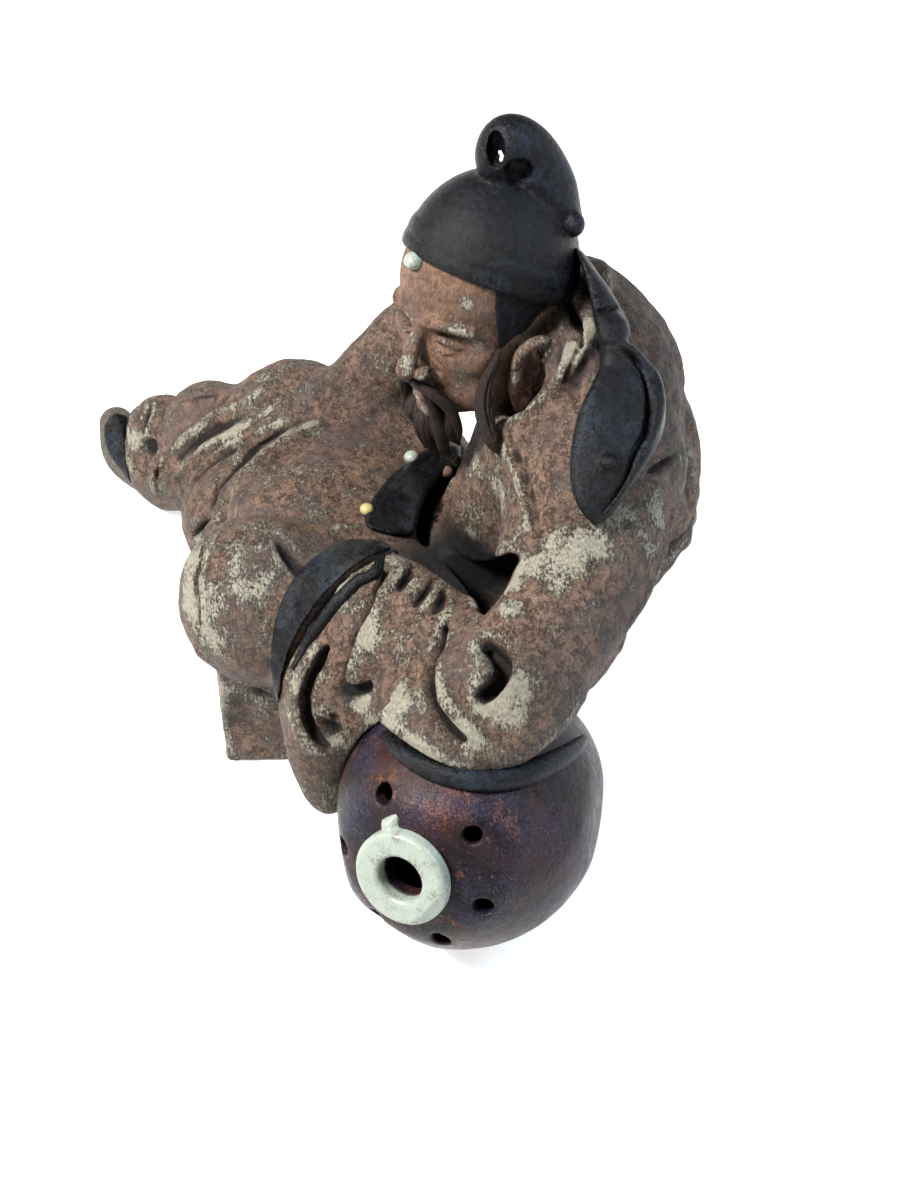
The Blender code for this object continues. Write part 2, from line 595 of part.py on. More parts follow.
def make_jar(paint):
    jar = lathe("wine_jar", jar_profile(), JAR_SIDES)
    seat = jar_outline()[-1][0]
    for degrees in PIERCED_ANGLES:
        angle = math.radians(degrees)
        at = (PIERCED_CIRCLE / 2 * math.cos(angle), PIERCED_CIRCLE / 2 * math.sin(angle), seat - JAR_WALL)
        drill = bmesh.new()
        bmesh.ops.create_cone(drill, cap_ends=True, segments=PIERCED_SIDES, radius1=PIERCED_BORE / 2,
                              radius2=PIERCED_BORE / 2, depth=6 * JAR_WALL, matrix=Matrix.Translation(at))
        mesh = bpy.data.meshes.new("drill")
        drill.to_mesh(mesh)
        drill.free()
        cut_with(jar, add_object("drill", mesh))
    across = Vector((0, 0, 1)).cross(Vector(JAR_AXIS)).normalized()
    upright = Vector(JAR_AXIS).cross(across)
    turn = Matrix((across, upright, JAR_AXIS)).transposed().to_4x4()
    place = Matrix.Translation((JAR_STANDS[0] * PART, JAR_STANDS[1] * PART, JAR_RADIUS - RESTING_FLAT))
    jar.data.transform(place @ turn)
    ground = bmesh.new()
    bmesh.ops.create_cube(ground, size=1)
    bmesh.ops.scale(ground, verts=ground.verts, vec=(HEIGHT, HEIGHT, JAR_RADIUS))
    bmesh.ops.translate(ground, verts=ground.verts, vec=(place[0][3], place[1][3], -JAR_RADIUS / 2))
    mesh = bpy.data.meshes.new("ground")
    ground.to_mesh(mesh)
    ground.free()
    cut_with(jar, add_object("ground", mesh))
    jar.data.materials.clear()
    jar.data.materials.append(paint)
    return jar


def main():
    clear_scene()
    make_sage(material("fired clay", (0.16, 0.10, 0.07), 0.75))
    make_jar(material("jar glaze", (0.05, 0.03, 0.03), 0.4))


main()
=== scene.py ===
"""Looks of the seated sage: finely carved clay, glazes, the wine jar, a pale floor, light and the camera.

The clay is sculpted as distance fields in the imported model's frame. One part is one millimetre.
Folds and glaze borders that the photograph shows are drawn as picture lines and cast onto the clay.
"""

import math

import bpy
import numpy as np
import openvdb
from mathutils import Matrix, Vector


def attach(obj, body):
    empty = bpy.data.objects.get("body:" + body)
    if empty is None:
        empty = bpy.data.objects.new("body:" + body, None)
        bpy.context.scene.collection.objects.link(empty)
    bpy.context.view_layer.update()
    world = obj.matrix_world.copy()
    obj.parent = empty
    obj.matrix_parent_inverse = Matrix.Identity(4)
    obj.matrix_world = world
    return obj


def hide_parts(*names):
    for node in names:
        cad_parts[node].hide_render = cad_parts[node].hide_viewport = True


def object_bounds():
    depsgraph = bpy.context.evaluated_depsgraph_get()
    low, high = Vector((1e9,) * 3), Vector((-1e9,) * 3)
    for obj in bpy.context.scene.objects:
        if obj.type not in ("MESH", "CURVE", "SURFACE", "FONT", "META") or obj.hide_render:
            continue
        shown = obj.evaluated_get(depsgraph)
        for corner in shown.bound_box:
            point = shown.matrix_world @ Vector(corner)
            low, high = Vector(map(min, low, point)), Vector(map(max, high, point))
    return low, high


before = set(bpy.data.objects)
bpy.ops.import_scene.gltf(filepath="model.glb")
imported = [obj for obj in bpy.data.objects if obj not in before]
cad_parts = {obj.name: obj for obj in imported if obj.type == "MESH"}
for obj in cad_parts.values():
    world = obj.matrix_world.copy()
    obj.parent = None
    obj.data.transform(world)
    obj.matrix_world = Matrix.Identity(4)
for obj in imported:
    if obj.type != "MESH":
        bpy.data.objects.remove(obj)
cad_low, cad_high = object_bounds()

PART = 0.001                 # metres in one part of the sculpture
FAR = 9.0                    # parts: value of a field well away from the clay
ROBE_GRAIN = 0.7             # parts: grid of the robe
HEAD_GRAIN = 0.36            # parts: grid of the head
GLAZE_GRAIN = 0.5            # parts: grid of the glazed pieces
MOST_FACES = 190000          # triangles that one piece may keep
SEAM = 0.5                   # parts: open seam between the clay and the jar

# The photograph's camera, in parts and in pixels of its 900 x 1200 frame
CAMERA_AT = np.array((409.4, -8.7, 388.5))
CAMERA_DOWN = math.radians(42)
FOCAL = 1800.0
PICTURE = (900, 1200)
AHEAD = np.array((-math.cos(CAMERA_DOWN), 0, -math.sin(CAMERA_DOWN)))
ACROSS = np.array((0.0, 1.0, 0.0))
OVER = np.array((-math.sin(CAMERA_DOWN), 0, math.cos(CAMERA_DOWN)))


# Fields

def soft_min(a, b, blend):
    if blend <= 0:
        return np.minimum(a, b)
    near = np.maximum(blend - np.abs(a - b), 0.0) / blend
    return np.minimum(a, b) - near * near * blend * 0.25


def soft_max(a, b, blend):
    return -soft_min(-a, -b, blend)


def turned(degrees):
    """Rotation about X, then Y, then Z."""
    rx, ry, rz = (math.radians(angle) for angle in degrees)
    turn = Matrix.Rotation(rz, 3, "Z") @ Matrix.Rotation(ry, 3, "Y") @ Matrix.Rotation(rx, 3, "X")
    return np.array(turn)


def smooth_path(rows, steps=6):
    """Catmull-Rom curve through rows of numbers."""
    rows = np.asarray(rows, float)
    if len(rows) == 2 or steps == 1:
        return rows
    ends = np.vstack([2 * rows[0] - rows[1], rows, 2 * rows[-1] - rows[-2]])
    t = np.linspace(0, 1, steps, endpoint=False)[:, None]
    runs = []
    for a, b, c, d in zip(ends[:-3], ends[1:-2], ends[2:-1], ends[3:]):
        curve = 2 * b + (c - a) * t + (2 * a - 5 * b + 4 * c - d) * t ** 2 + (3 * b - a - 3 * c + d) * t ** 3
        runs.append(curve / 2)
    return np.vstack(runs + [rows[-1:]])


def picture_rays(pixels):
    pixels = np.asarray(pixels, float)
    side = (pixels[:, :1] - PICTURE[0] / 2) / FOCAL
    lift = (pixels[:, 1:] - PICTURE[1] / 2) / FOCAL
    rays = AHEAD + ACROSS * side - OVER * lift
    return rays / np.linalg.norm(rays, axis=1, keepdims=True)


class Clay:
    """A block of clay: distances to the surface, negative inside, on a grid measured in parts."""

    def __init__(self, low, high, step):
        self.axes = [np.arange(a, b + step, step, dtype=np.float32) for a, b in zip(low, high)]
        self.low = np.array([axis[0] for axis in self.axes], float)
        self.high = np.array([axis[-1] for axis in self.axes], float)
        self.step = step
        self.field = np.full([len(axis) for axis in self.axes], FAR, np.float32)
        self.stand_at((0, 0, 0))

    def piece_of(self, low, high):
        """A copy of a smaller block."""
        cut = self.window(low, high)[0]
        made = Clay((0, 0, 0), (1, 1, 1), self.step)
        made.axes = [axis[part].copy() for axis, part in zip(self.axes, cut)]
        made.low = np.array([axis[0] for axis in made.axes], float)
        made.high = np.array([axis[-1] for axis in made.axes], float)
        made.field = self.field[cut].copy()
        return made

    def stand_at(self, origin, turn=(0, 0, 0)):
        """Give the following forms in a local frame."""
        self.origin = np.asarray(origin, float)
        self.basis = turned(turn)

    def to_block(self, points):
        return np.asarray(points, float) @ self.basis.T + self.origin

    def window(self, low, high):
        cut = tuple(slice(*np.searchsorted(axis, (a, b))) for axis, a, b in zip(self.axes, low, high))
        x, y, z = (axis[part] for axis, part in zip(self.axes, cut))
        return cut, x[:, None, None], y[None, :, None], z[None, None, :]

    def whole(self):
        return tuple(slice(0, len(axis)) for axis in self.axes)

    def egg_field(self, centre, radii, turn=(0, 0, 0), margin=4):
        basis = self.basis @ turned(turn)
        centre = self.to_block(centre)
        reach = np.sqrt(((basis * np.asarray(radii)) ** 2).sum(1)) + margin
        cut, x, y, z = self.window(centre - reach, centre + reach)
        local = [(x - centre[0]) * basis[0, i] + (y - centre[1]) * basis[1, i]
                 + (z - centre[2]) * basis[2, i] for i in range(3)]
        near = np.sqrt(sum((local[i] / radii[i]) ** 2 for i in range(3)))
        slope = np.sqrt(sum((local[i] / radii[i] ** 2) ** 2 for i in range(3))) + 1e-6
        return cut, near * (near - 1) / slope

    def slab_field(self, centre, half, turn, edge, margin):
        basis = self.basis @ turned(turn)
        centre = self.to_block(centre)
        reach = np.abs(basis) @ np.asarray(half, float) + margin
        cut, x, y, z = self.window(centre - reach, centre + reach)
        over = [np.abs((x - centre[0]) * basis[0, i] + (y - centre[1]) * basis[1, i]
                       + (z - centre[2]) * basis[2, i]) - (half[i] - edge) for i in range(3)]
        outside = np.sqrt(sum(np.maximum(side, 0) ** 2 for side in over))
        inside = np.minimum(np.maximum(np.maximum(over[0], over[1]), over[2]), 0)
        return cut, outside + inside - edge

    def limb_field(self, points, radii, thin, up, steps, margin):
        """A tube along points. With up, its section is an ellipse of the half size thin along up."""
        count = len(points)
        radii = np.broadcast_to(np.asarray(radii, float), (count,))
        thin = radii if thin is None else np.broadcast_to(np.asarray(thin, float), (count,))
        path = smooth_path(np.column_stack([points, radii, thin]), steps)
        reach = path[:, 3].max() + margin
        cut, x, y, z = self.window(path[:, :3].min(0) - reach, path[:, :3].max(0) + reach)
        result = np.full([x.shape[0], y.shape[1], z.shape[2]], FAR, np.float32)
        for a, b in zip(path[:-1], path[1:]):
            reach = max(a[3], b[3]) + margin
            part, x, y, z = self.window(np.minimum(a[:3], b[:3]) - reach, np.maximum(a[:3], b[:3]) + reach)
            run = b[:3] - a[:3]
            length = float(run @ run) + 1e-9
            x, y, z = x - a[0], y - a[1], z - a[2]
            along = np.clip((x * run[0] + y * run[1] + z * run[2]) / length, 0, 1)
            x, y, z = x - along * run[0], y - along * run[1], z - along * run[2]
            width = a[3] + along * (b[3] - a[3])
            square = x * x + y * y + z * z
            if up is None:
                gap = np.sqrt(square) - width
            else:
                lift = up - (up @ run) * run / length
                lift = lift / (np.linalg.norm(lift) + 1e-9)
                height = a[4] + along * (b[4] - a[4])
                rise = (x * lift[0] + y * lift[1] + z * lift[2]) ** 2
                beside = np.maximum(square - rise, 0)
                near = np.sqrt(beside / width ** 2 + rise / height ** 2)
                slope = np.sqrt(beside / width ** 4 + rise / height ** 4) + 1e-6
                gap = near * (near - 1) / slope
            spot = tuple(slice(s.start - c.start, s.stop - c.start) for s, c in zip(part, cut))
            result[spot] = np.minimum(result[spot], gap)
        return cut, result

    def plane(self, cut, point, normal):
        """Distance past a plane through point, on a window of the block."""
        point = self.to_block(point)
        normal = self.basis @ (np.asarray(normal, float) / np.linalg.norm(normal))
        x, y, z = (axis[part] for axis, part in zip(self.axes, cut))
        return ((x - point[0])[:, None, None] * normal[0] + (y - point[1])[None, :, None] * normal[1]
                + (z - point[2])[None, None, :] * normal[2])

    def join(self, piece, blend=0.0, carve=False):
        cut, form = piece
        if carve:
            self.field[cut] = soft_max(self.field[cut], -form, blend)
        else:
            self.field[cut] = soft_min(self.field[cut], form, blend)

    def egg(self, centre, radii, turn=(0, 0, 0), blend=0.0, carve=False):
        self.join(self.egg_field(centre, radii, turn, blend + 3), blend, carve)

    def slab(self, centre, half, turn=(0, 0, 0), edge=1.0, blend=0.0, carve=False):
        self.join(self.slab_field(centre, half, turn, edge, blend + 3), blend, carve)

    def limb(self, points, radii, thin=None, up=None, blend=0.0, carve=False, steps=6):
        if up is not None:
            up = self.basis @ np.asarray(up, float)
        points = self.to_block(points)
        self.join(self.limb_field(points, radii, thin, up, steps, blend + 3), blend, carve)

    def slice_off(self, point, normal, blend, low, high):
        """Take off what lies past a plane, inside a box."""
        cut = self.window(low, high)[0]
        self.field[cut] = soft_max(self.field[cut], self.plane(cut, point, normal), blend)

    def read(self, points, field=None):
        field = self.field if field is None else field
        spot = np.clip((points - self.low) / self.step, 0, np.array(field.shape) - 1.001)
        base = spot.astype(int)
        part = spot - base
        total = 0
        for corner in np.ndindex(2, 2, 2):
            weight = np.prod(np.where(corner, part, 1 - part), axis=-1)
            total = total + weight * field[tuple((base + corner).T)]
        return total

    def outward(self, points):
        ways = np.eye(3) * self.step
        slope = np.stack([self.read(points + way) - self.read(points - way) for way in ways], -1)
        return slope / (np.linalg.norm(slope, axis=-1, keepdims=True) + 1e-9)

    def on_surface(self, points):
        for _ in range(12):
            points = points - self.outward(points) * np.clip(self.read(points), -2.5, 2.5)[:, None]
        return points

    def cast(self, pixels):
        """Where the lines of sight through these pixels meet the clay, without those that miss it."""
        rays = picture_rays(pixels)
        gone = np.full(len(rays), 330.0)
        for _ in range(160):
            places = CAMERA_AT + rays * gone[:, None]
            within = np.all((places > self.low) & (places < self.high), axis=1)
            gap = np.where(within, self.read(places), 4.0)
            gone = gone + np.clip(gap * 0.8, -2, 6) * (np.abs(gap) > 0.01)
        hit = (np.abs(gap) < 0.4) & within
        return (CAMERA_AT + rays * gone[:, None])[hit]

    def stroke(self, points, width, depth, blend=0.8, steps=6, ends=0.03):
        """Draw a curve onto the surface: a groove, or a raised roll where depth is negative."""
        path = self.on_surface(smooth_path(self.to_block(points), steps))
        path = path[np.abs(self.read(path)) < 0.3]
        if len(path) > 2:
            self.trace(path, width, depth, blend, ends)

    def trace(self, path, width, depth, blend, ends):
        fade = np.sqrt(np.sin(np.pi * np.linspace(ends, 1 - ends, len(path))))
        away = self.outward(path)
        if depth <= 0:
            radii = np.maximum(width / 2 * fade, 0.05)
            centre = path - away * (radii + depth * fade)[:, None]
            self.join(self.limb_field(centre, radii, None, None, 1, blend + 3), blend)
            return
        layers = max(1, math.ceil(depth / width * 2))
        cuts = []
        for layer in range(layers):
            share = (layer + 1) / layers
            radii = np.maximum(width / 2 * fade * (1 - 0.5 * share * (layers > 1)), 0.05)
            centre = path + away * (radii - depth * share * fade)[:, None]
            cuts.append(self.limb_field(centre, radii, None, None, 1, blend + 5))
        for cut in cuts:
            self.join(cut, blend, True)

    def draw(self, pixels, width, depth, blend=0.8, steps=6, ends=0.03):
        """A stroke that is given by picture points."""
        path = self.cast(smooth_path(pixels, steps))
        far = np.linalg.norm(path - CAMERA_AT, axis=1)
        usual = np.array([np.median(far[max(0, i - 4):i + 5]) for i in range(len(far))])
        path = path[np.abs(far - usual) < 2.5]
        if len(path) > 2:
            self.trace(self.on_surface(path), width, depth, blend, ends)

    def spot(self, pixel):
        return self.cast([pixel])[0]

    def cut_floor(self):
        self.field = np.maximum(self.field, -self.axes[2][None, None, :])

    def hand_marks(self, size, amount, seed):
        """Shallow uneven places, as fingers leave them."""
        counts = [int((axis[-1] - axis[0]) / size) + 3 for axis in self.axes]
        marks = np.random.default_rng(seed).standard_normal(counts).astype(np.float32)
        for axis in self.axes:
            place = (axis - axis[0]) / size
            base = place.astype(int)
            part = place - base
            part = (part * part * (3 - 2 * part)).astype(np.float32)
            spread = np.zeros((len(axis), marks.shape[0]), np.float32)
            rows = np.arange(len(axis))
            spread[rows, base] = 1 - part
            spread[rows, base + 1] = part
            marks = np.tensordot(marks, spread, axes=(0, 1))
        self.field += marks * amount

    def inside_outline(self, cut, border):
        """Distance past a border drawn in the picture, carried along the lines of sight, on a window."""
        low, image, pitch = border
        x, y, z = (axis[part] for axis, part in zip(self.axes, cut))
        x = (x - CAMERA_AT[0])[:, None, None]
        y = (y - CAMERA_AT[1])[None, :, None]
        z = (z - CAMERA_AT[2])[None, None, :]
        depth = x * AHEAD[0] + z * AHEAD[2]
        across = PICTURE[0] / 2 + FOCAL * y / depth
        down = PICTURE[1] / 2 - FOCAL * (x * OVER[0] + z * OVER[2]) / depth + y * 0
        spot_x = np.clip((across - low[0]) / pitch, 0, image.shape[0] - 1.001)
        spot_y = np.clip((down - low[1]) / pitch, 0, image.shape[1] - 1.001)
        left, top = spot_x.astype(int), spot_y.astype(int)
        right, below = spot_x - left, spot_y - top
        value = (image[left, top] * (1 - right) * (1 - below) + image[left + 1, top] * right * (1 - below)
                 + image[left, top + 1] * (1 - right) * below + image[left + 1, top + 1] * right * below)
        return (value * depth / FOCAL).astype(np.float32)

    def cut_outline(self, border, low, high, blend):
        """Carve away what lies behind a border drawn in the picture, inside a box."""
        cut = self.window(low, high)[0]
        self.field[cut] = soft_max(self.field[cut], -self.inside_outline(cut, outline(border)), blend)


def outline(pixels, steps=6, pitch=0.5, margin=14):
    """A closed smooth border in the picture, as an image of signed distances in pixels."""
    rows = np.asarray(list(pixels) + [pixels[0]], float)
    path = smooth_path(rows, steps)
    low, high = path.min(0) - margin, path.max(0) + margin
    x = np.arange(low[0], high[0], pitch)[:, None]
    y = np.arange(low[1], high[1], pitch)[None, :]
    nearest = np.full((x.size, y.size), 1e9)
    odd = np.zeros((x.size, y.size), bool)
    for (ax, ay), (bx, by) in zip(path[:-1], path[1:]):
        run = (bx - ax, by - ay)
        along = np.clip(((x - ax) * run[0] + (y - ay) * run[1]) / (run[0] ** 2 + run[1] ** 2 + 1e-9), 0, 1)
        nearest = np.minimum(nearest, (x - ax - along * run[0]) ** 2 + (y - ay - along * run[1]) ** 2)
        if ay != by:
            odd ^= ((y > ay) != (y > by)) & (x < ax + (y - ay) * run[0] / (by - ay))
    distance = np.sqrt(nearest)
    return low, np.where(odd, -distance, distance), pitch


def glazed_patch(source, low, high, raised, deep, border, blend):
    """The surface of the source inside a border in the picture, as a shell of glaze that stands out."""
    clay = source.piece_of(low, high)
    shell = np.maximum(clay.field - raised, -clay.field - deep)
    clay.field = soft_max(shell, clay.inside_outline(clay.whole(), outline(border)), blend)
    return clay


def blurred(field, cells):
    """Box blur along each axis, twice."""
    for _ in range(2):
        for axis in range(3):
            total = np.cumsum(np.pad(field, [(cells + 1, cells) if a == axis else (0, 0) for a in range(3)],
                                     mode="edge"), axis=axis, dtype=np.float64)
            high = np.take(total, range(2 * cells + 1, total.shape[axis]), axis=axis)
            low = np.take(total, range(0, total.shape[axis] - 2 * cells - 1), axis=axis)
            field = ((high - low) / (2 * cells + 1)).astype(np.float32)
    return field


# The robe

BELLY = (10, -12.6, 64)         # a point of the chest's sloping front, and the way it faces
CHEST_FACES = (0, -0.95, 0.312)
BREAST = (11, -6.6, 82)         # the same where the chest turns away to the right
BREAST_FACES = (-0.4, -0.88, 0.25)


def body_masses(clay):
    clay.egg((0, 10, 20), (40, 36, 32), blend=4)
    clay.egg((0, 24, 71), (36, 39, 48), turn=(8, 0, 0), blend=10)
    clay.egg((4, 26, 112), (32, 22, 26), turn=(24, 0, 0), blend=10)
    clay.egg((17, 15, 72), (24, 25, 38), turn=(6, 0, 0), blend=7)
    clay.egg((6, 33, 104), (24, 21, 22), blend=8)
    clay.egg((32, 26, 102), (20, 22, 20), blend=8)
    clay.egg((-28, 20, 98), (18, 19, 18), blend=8)
    clay.limb([(4, 22, 110), (8, 10, 124)], [16, 12], blend=5)
    for point, faces in ((BELLY, CHEST_FACES), (BREAST, BREAST_FACES)):
        clay.slice_off(point, faces, 4, (-60, -70, 40), (60, 60, 140))


def legs(clay):
    clay.limb([(-14, 4, 24), (-41, -32, 39), (-60, -58, 40)], [22, 24.5, 22], blend=8)
    clay.limb([(-60, -58, 38), (-68, -82, 24), (-76, -101, 15)], [22, 20, 17], blend=6)
    clay.egg((-44, -62, 18), (30, 34, 26), blend=6)
    clay.egg((-70, -88, 33), (17, 15, 15), blend=5)
    clay.egg((-78, -105, 26.5), (12, 11, 11.5), blend=3)
    clay.egg((2, -38, 20), (40, 28, 30), blend=6)
    clay.limb([(20, 2, 28), (31, -32, 42), (40, -58, 54)], [24, 24, 22], blend=8)
    clay.egg((41, -62, 58), (21, 21, 23), blend=6)
    clay.egg((2, -44, 42), (48, 32, 27), blend=8)
    clay.slab((39, -64, 18), (9.5, 10.5, 24), edge=2, blend=4)


def right_sleeve(clay):
    clay.limb([(-28, 18, 100), (-48, 4, 88), (-56, -14, 80), (-54, -30, 66), (-50, -46, 52)],
              [17, 14, 14, 13, 11], blend=6)


def left_sleeve(clay):
    clay.limb([(34, 30, 98), (64, 22, 86), (93, 7, 77)], [23, 20, 16], blend=8)
    clay.limb([(96, 6, 74), (80, -9, 66), (65, -32, 60)], [18, 20, 29], thin=[17, 16, 14],
              up=(0.53, -0.69, 0.5), blend=5)
    clay.egg((98, -8, 68), (18, 18, 12), blend=6)
    clay.egg((44, -6, 62), (12, 13, 17), turn=(20, 0, 0), blend=4, carve=True)
    clay.limb([(72, -40, 50), (80, -42, 38), (86, -41, 28)], [14, 10, 6], blend=5)


def collar(clay):
    clay.limb([(33, 3, 106), (33, 13, 115), (27, 23, 125), (14, 29, 130), (0, 29, 130), (-12, 23, 121),
               (-18, 10, 110)], [3, 6, 8, 8, 8, 7, 4], thin=2.6, up=(0.3, 0.75, -0.2), blend=2.5)
    clay.limb([(24, 6, 112), (25, 13, 121), (20, 20, 128), (8, 24, 131), (-4, 21, 128), (-8, 8, 118)],
              [3, 5, 6, 6, 5, 3], thin=1.6, up=(0.3, 0.7, -0.1), blend=1)


LEG_RIDGES = (
    [(154, 476), (166, 458), (190, 435), (212, 417), (233, 407), (261, 391)],
    [(172, 484), (187, 463), (218, 441), (248, 426), (279, 404)],
    [(182, 492), (218, 454), (264, 432), (290, 418)],
)
LEG_GROOVES = (
    [(176, 462), (193, 447), (214, 430), (236, 420), (262, 403)],
    [(192, 482), (212, 462), (240, 446), (272, 430)],
)
LAP_EDGE = [(209, 520), (222, 490), (235, 474), (259, 450), (282, 434), (306, 420)]
HEM_ROLL = [(137, 410), (128, 424), (127, 442), (131, 462), (140, 478)]
ANKLE_HOLLOW = (148, 447)
HEM_SLIT = [(157, 462), (156, 478), (159, 494)]
HEM_TOP_SLIT = [(152, 402), (146, 418), (142, 434)]
HEM_TOP_EDGE = [(170, 404), (196, 396), (222, 394)]
LEG_CRACK = [(180, 514), (186, 504), (184, 495), (180, 491)]
KNEE_SLIT = [(205, 541), (197, 573), (196, 596), (200, 624)]
KNEE_TOP_SLIT = [(189, 538), (200, 527), (212, 517)]
KNEE_CREASE = [(281, 543), (291, 556), (300, 572)]
SHIN_HEM = [(248, 688), (262, 694), (276, 697)]
LAP_RIDGE = [(320, 541), (338, 529), (358, 527)]
LAPEL = [(492, 428), (508, 456), (520, 482), (527, 508), (531, 540)]
CHEST_CRACK = [(531, 444), (547, 459)]
BACK_CREASE = [(649, 473), (664, 464), (680, 454)]
CUFF_GAP = [(411, 545), (371, 559), (345, 577), (319, 605), (299, 637), (286, 668), (279, 701)]
FOLD_FRONT = [(386, 569), (374, 588), (370, 601), (359, 623), (349, 644), (343, 665), (341, 682)]
FOLD_FRONT_POOL = [(343, 690), (354, 694), (366, 688)]
FOLD_TIP = [(325, 648), (317, 664), (309, 680), (305, 700), (307, 719), (312, 733), (327, 748)]
TIP_HOLLOW = (329, 727)
TIP_LIP = [(314, 707), (328, 715), (346, 724), (350, 738)]
FOLD_ELBOW = [(445, 624), (438, 647), (431, 669), (431, 688), (436, 708), (447, 725), (463, 740)]
ELBOW_LIP = [(440, 672), (442, 692), (452, 712), (466, 727), (478, 738)]
GATHERS = (
    [(418, 560), (408, 575), (399, 589)], [(437, 577), (424, 592), (412, 606)],
    [(447, 589), (441, 600), (433, 612)],
)
GATHER_RIDGES = (
    [(427, 565), (415, 582), (404, 599)], [(444, 580), (432, 597), (420, 612)],
    [(455, 596), (448, 612), (441, 626)],
)
POCKET = [(486, 643), (497, 652), (501, 664), (498, 677), (488, 690), (480, 697)]
ARM_KNOB = (511, 610)
KNOB_CRESCENT = [(513, 600), (522, 605), (523, 616), (513, 624)]
ARM_CREASE = [(526, 558), (536, 552), (546, 547)]
LAP_POCKET = [
    (459, 464), (450, 469), (438, 478), (428, 491), (421, 506), (416, 524), (417, 538), (428, 547),
    (431, 523), (438, 503), (448, 486), (456, 472),
]
ARM_POCKET = [
    (425, 545), (440, 560), (454, 574), (466, 589), (476, 603), (484, 616), (494, 606), (503, 594),
    (510, 582), (516, 569), (520, 558), (511, 552), (498, 557), (484, 561), (468, 559), (450, 551),
    (436, 544),
]
UNDER_SLEEVE = [
    (380, 724), (390, 730), (403, 740), (429, 757), (462, 770), (493, 772), (524, 763), (552, 742),
    (573, 721), (590, 702), (640, 716), (640, 800), (560, 840), (440, 850), (384, 800), (374, 750),
]
INNER_COLLAR = [(553, 306), (563, 318), (569, 336), (568, 354), (560, 372)]
COLLAR_GAP = [(551, 288), (562, 298), (573, 314), (578, 334), (576, 356), (565, 380)]
OUTER_COLLAR = [(566, 282), (578, 298), (588, 320), (593, 345), (594, 372), (588, 398)]


# Deep pockets and the room under the sleeve: border in the picture, box in parts, softness of the edge
POCKETS = (
    (LAP_POCKET, (-34, -34, 18), (34, 2, 67), 1.5),
    (ARM_POCKET, (27, -26, 42), (104, 16, 106), 1.5),
)
SLEEVE_ROOM = (UNDER_SLEEVE, (82, -40, 40), (128, 36, 84), 1.2)

# Marks of hands: size and depth in parts, and seed
HAND_MARKS = ((5.0, 0.22, 3), (2.2, 0.10, 4))

# Folds of the sides that the photograph doesn't show, in parts
BACK_FOLDS = (-26, -9, 8, 25)
WAIST = [(-38, 24, 60), (-24, 50, 60), (-4, 62, 60), (18, 58, 60), (34, 42, 62)]
SIDE_FOLDS = (
    [(-30, 34, 106), (-48, 14, 96), (-64, -8, 84)],
    [(-34, 30, 92), (-52, 10, 82), (-66, -14, 72)],
    [(-46, -4, 44), (-66, -34, 46), (-82, -66, 36)],
    [(-44, 2, 26), (-66, -26, 26), (-84, -66, 20)],
    [(46, 50, 92), (62, 42, 84), (78, 32, 78)],
)


def carve_right_leg(clay):
    clay.draw([(233, 505), (248, 480), (268, 458), (292, 440), (318, 426)], 12, -1.6, blend=4)
    clay.draw([(x + 9, y + 3) for x, y in LAP_EDGE], 7, -1.7, blend=2.5)
    clay.draw([(x - 3, y - 2) for x, y in LAP_EDGE], 3.2, 2.0, blend=0.8)
    for ridge in LEG_RIDGES:
        clay.draw(ridge, 3.4, -1.2, blend=1.8)
    for groove in LEG_GROOVES:
        clay.draw(groove, 2.6, 1.2, blend=1.4)
    clay.draw(HEM_ROLL, 5.2, -1.3, blend=2)
    clay.draw(HEM_TOP_SLIT, 2.4, 2.6, blend=0.6)
    clay.draw(HEM_TOP_EDGE, 2.0, 1.1, blend=1.0)
    clay.egg(clay.spot(ANKLE_HOLLOW), (3.4, 4.0, 3.0), blend=1.6, carve=True)
    clay.draw(HEM_SLIT, 2.0, 3.4, blend=0.4)
    clay.draw(LEG_CRACK, 1.0, 1.4, blend=0.2)


def carve_left_knee(clay):
    clay.draw(KNEE_SLIT, 2.0, 3.6, blend=0.4)
    clay.draw(KNEE_TOP_SLIT, 3.0, 3.6, blend=0.5)
    clay.draw(KNEE_CREASE, 5.0, 2.6, blend=2.4)
    clay.draw(SHIN_HEM, 2.4, 1.0, blend=1.2)
    clay.draw(LAP_RIDGE, 3.0, -0.9, blend=1.4)


def carve_chest_and_back(clay):
    clay.draw(OUTER_COLLAR, 6.5, -1.5, blend=2)
    clay.draw(COLLAR_GAP, 2.4, 4.0, blend=0.6)
    clay.draw(INNER_COLLAR, 3.6, -1.2, blend=0.6)
    clay.draw(LAPEL, 3.4, -1.0, blend=2)
    clay.draw([(x + 7, y + 1) for x, y in LAPEL], 2.2, 0.9, blend=1)
    clay.draw(CHEST_CRACK, 1.0, 1.4, blend=0.1)
    clay.draw(BACK_CREASE, 2.0, 2.0, blend=0.5)
    for across in BACK_FOLDS:
        clay.stroke([(across, 44, 114), (across * 0.9, 58, 94), (across * 0.7, 62, 70)], 6, 1.7, blend=3)
        fold = [(across * 0.8 + 3, 62, 56), (across * 1.1 + 3, 60, 38), (across * 1.5, 46, 12)]
        beside = [(across * 0.8 + 8, 62, 54), (across * 1.1 + 8, 60, 36), (across * 1.5 + 5, 46, 14)]
        clay.stroke(fold, 6, 2.2, blend=3)
        clay.stroke(beside, 4, -0.9, blend=3)
    clay.stroke(WAIST, 4.0, 2.2, blend=1.5)
    clay.stroke([(x, y, z - 4.5) for x, y, z in WAIST], 5.0, -1.2, blend=2)
    for fold in SIDE_FOLDS:
        clay.stroke(fold, 4.5, 2.0, blend=2)
        clay.stroke([(x, y, z + 5) for x, y, z in fold], 4.0, -1.0, blend=2)


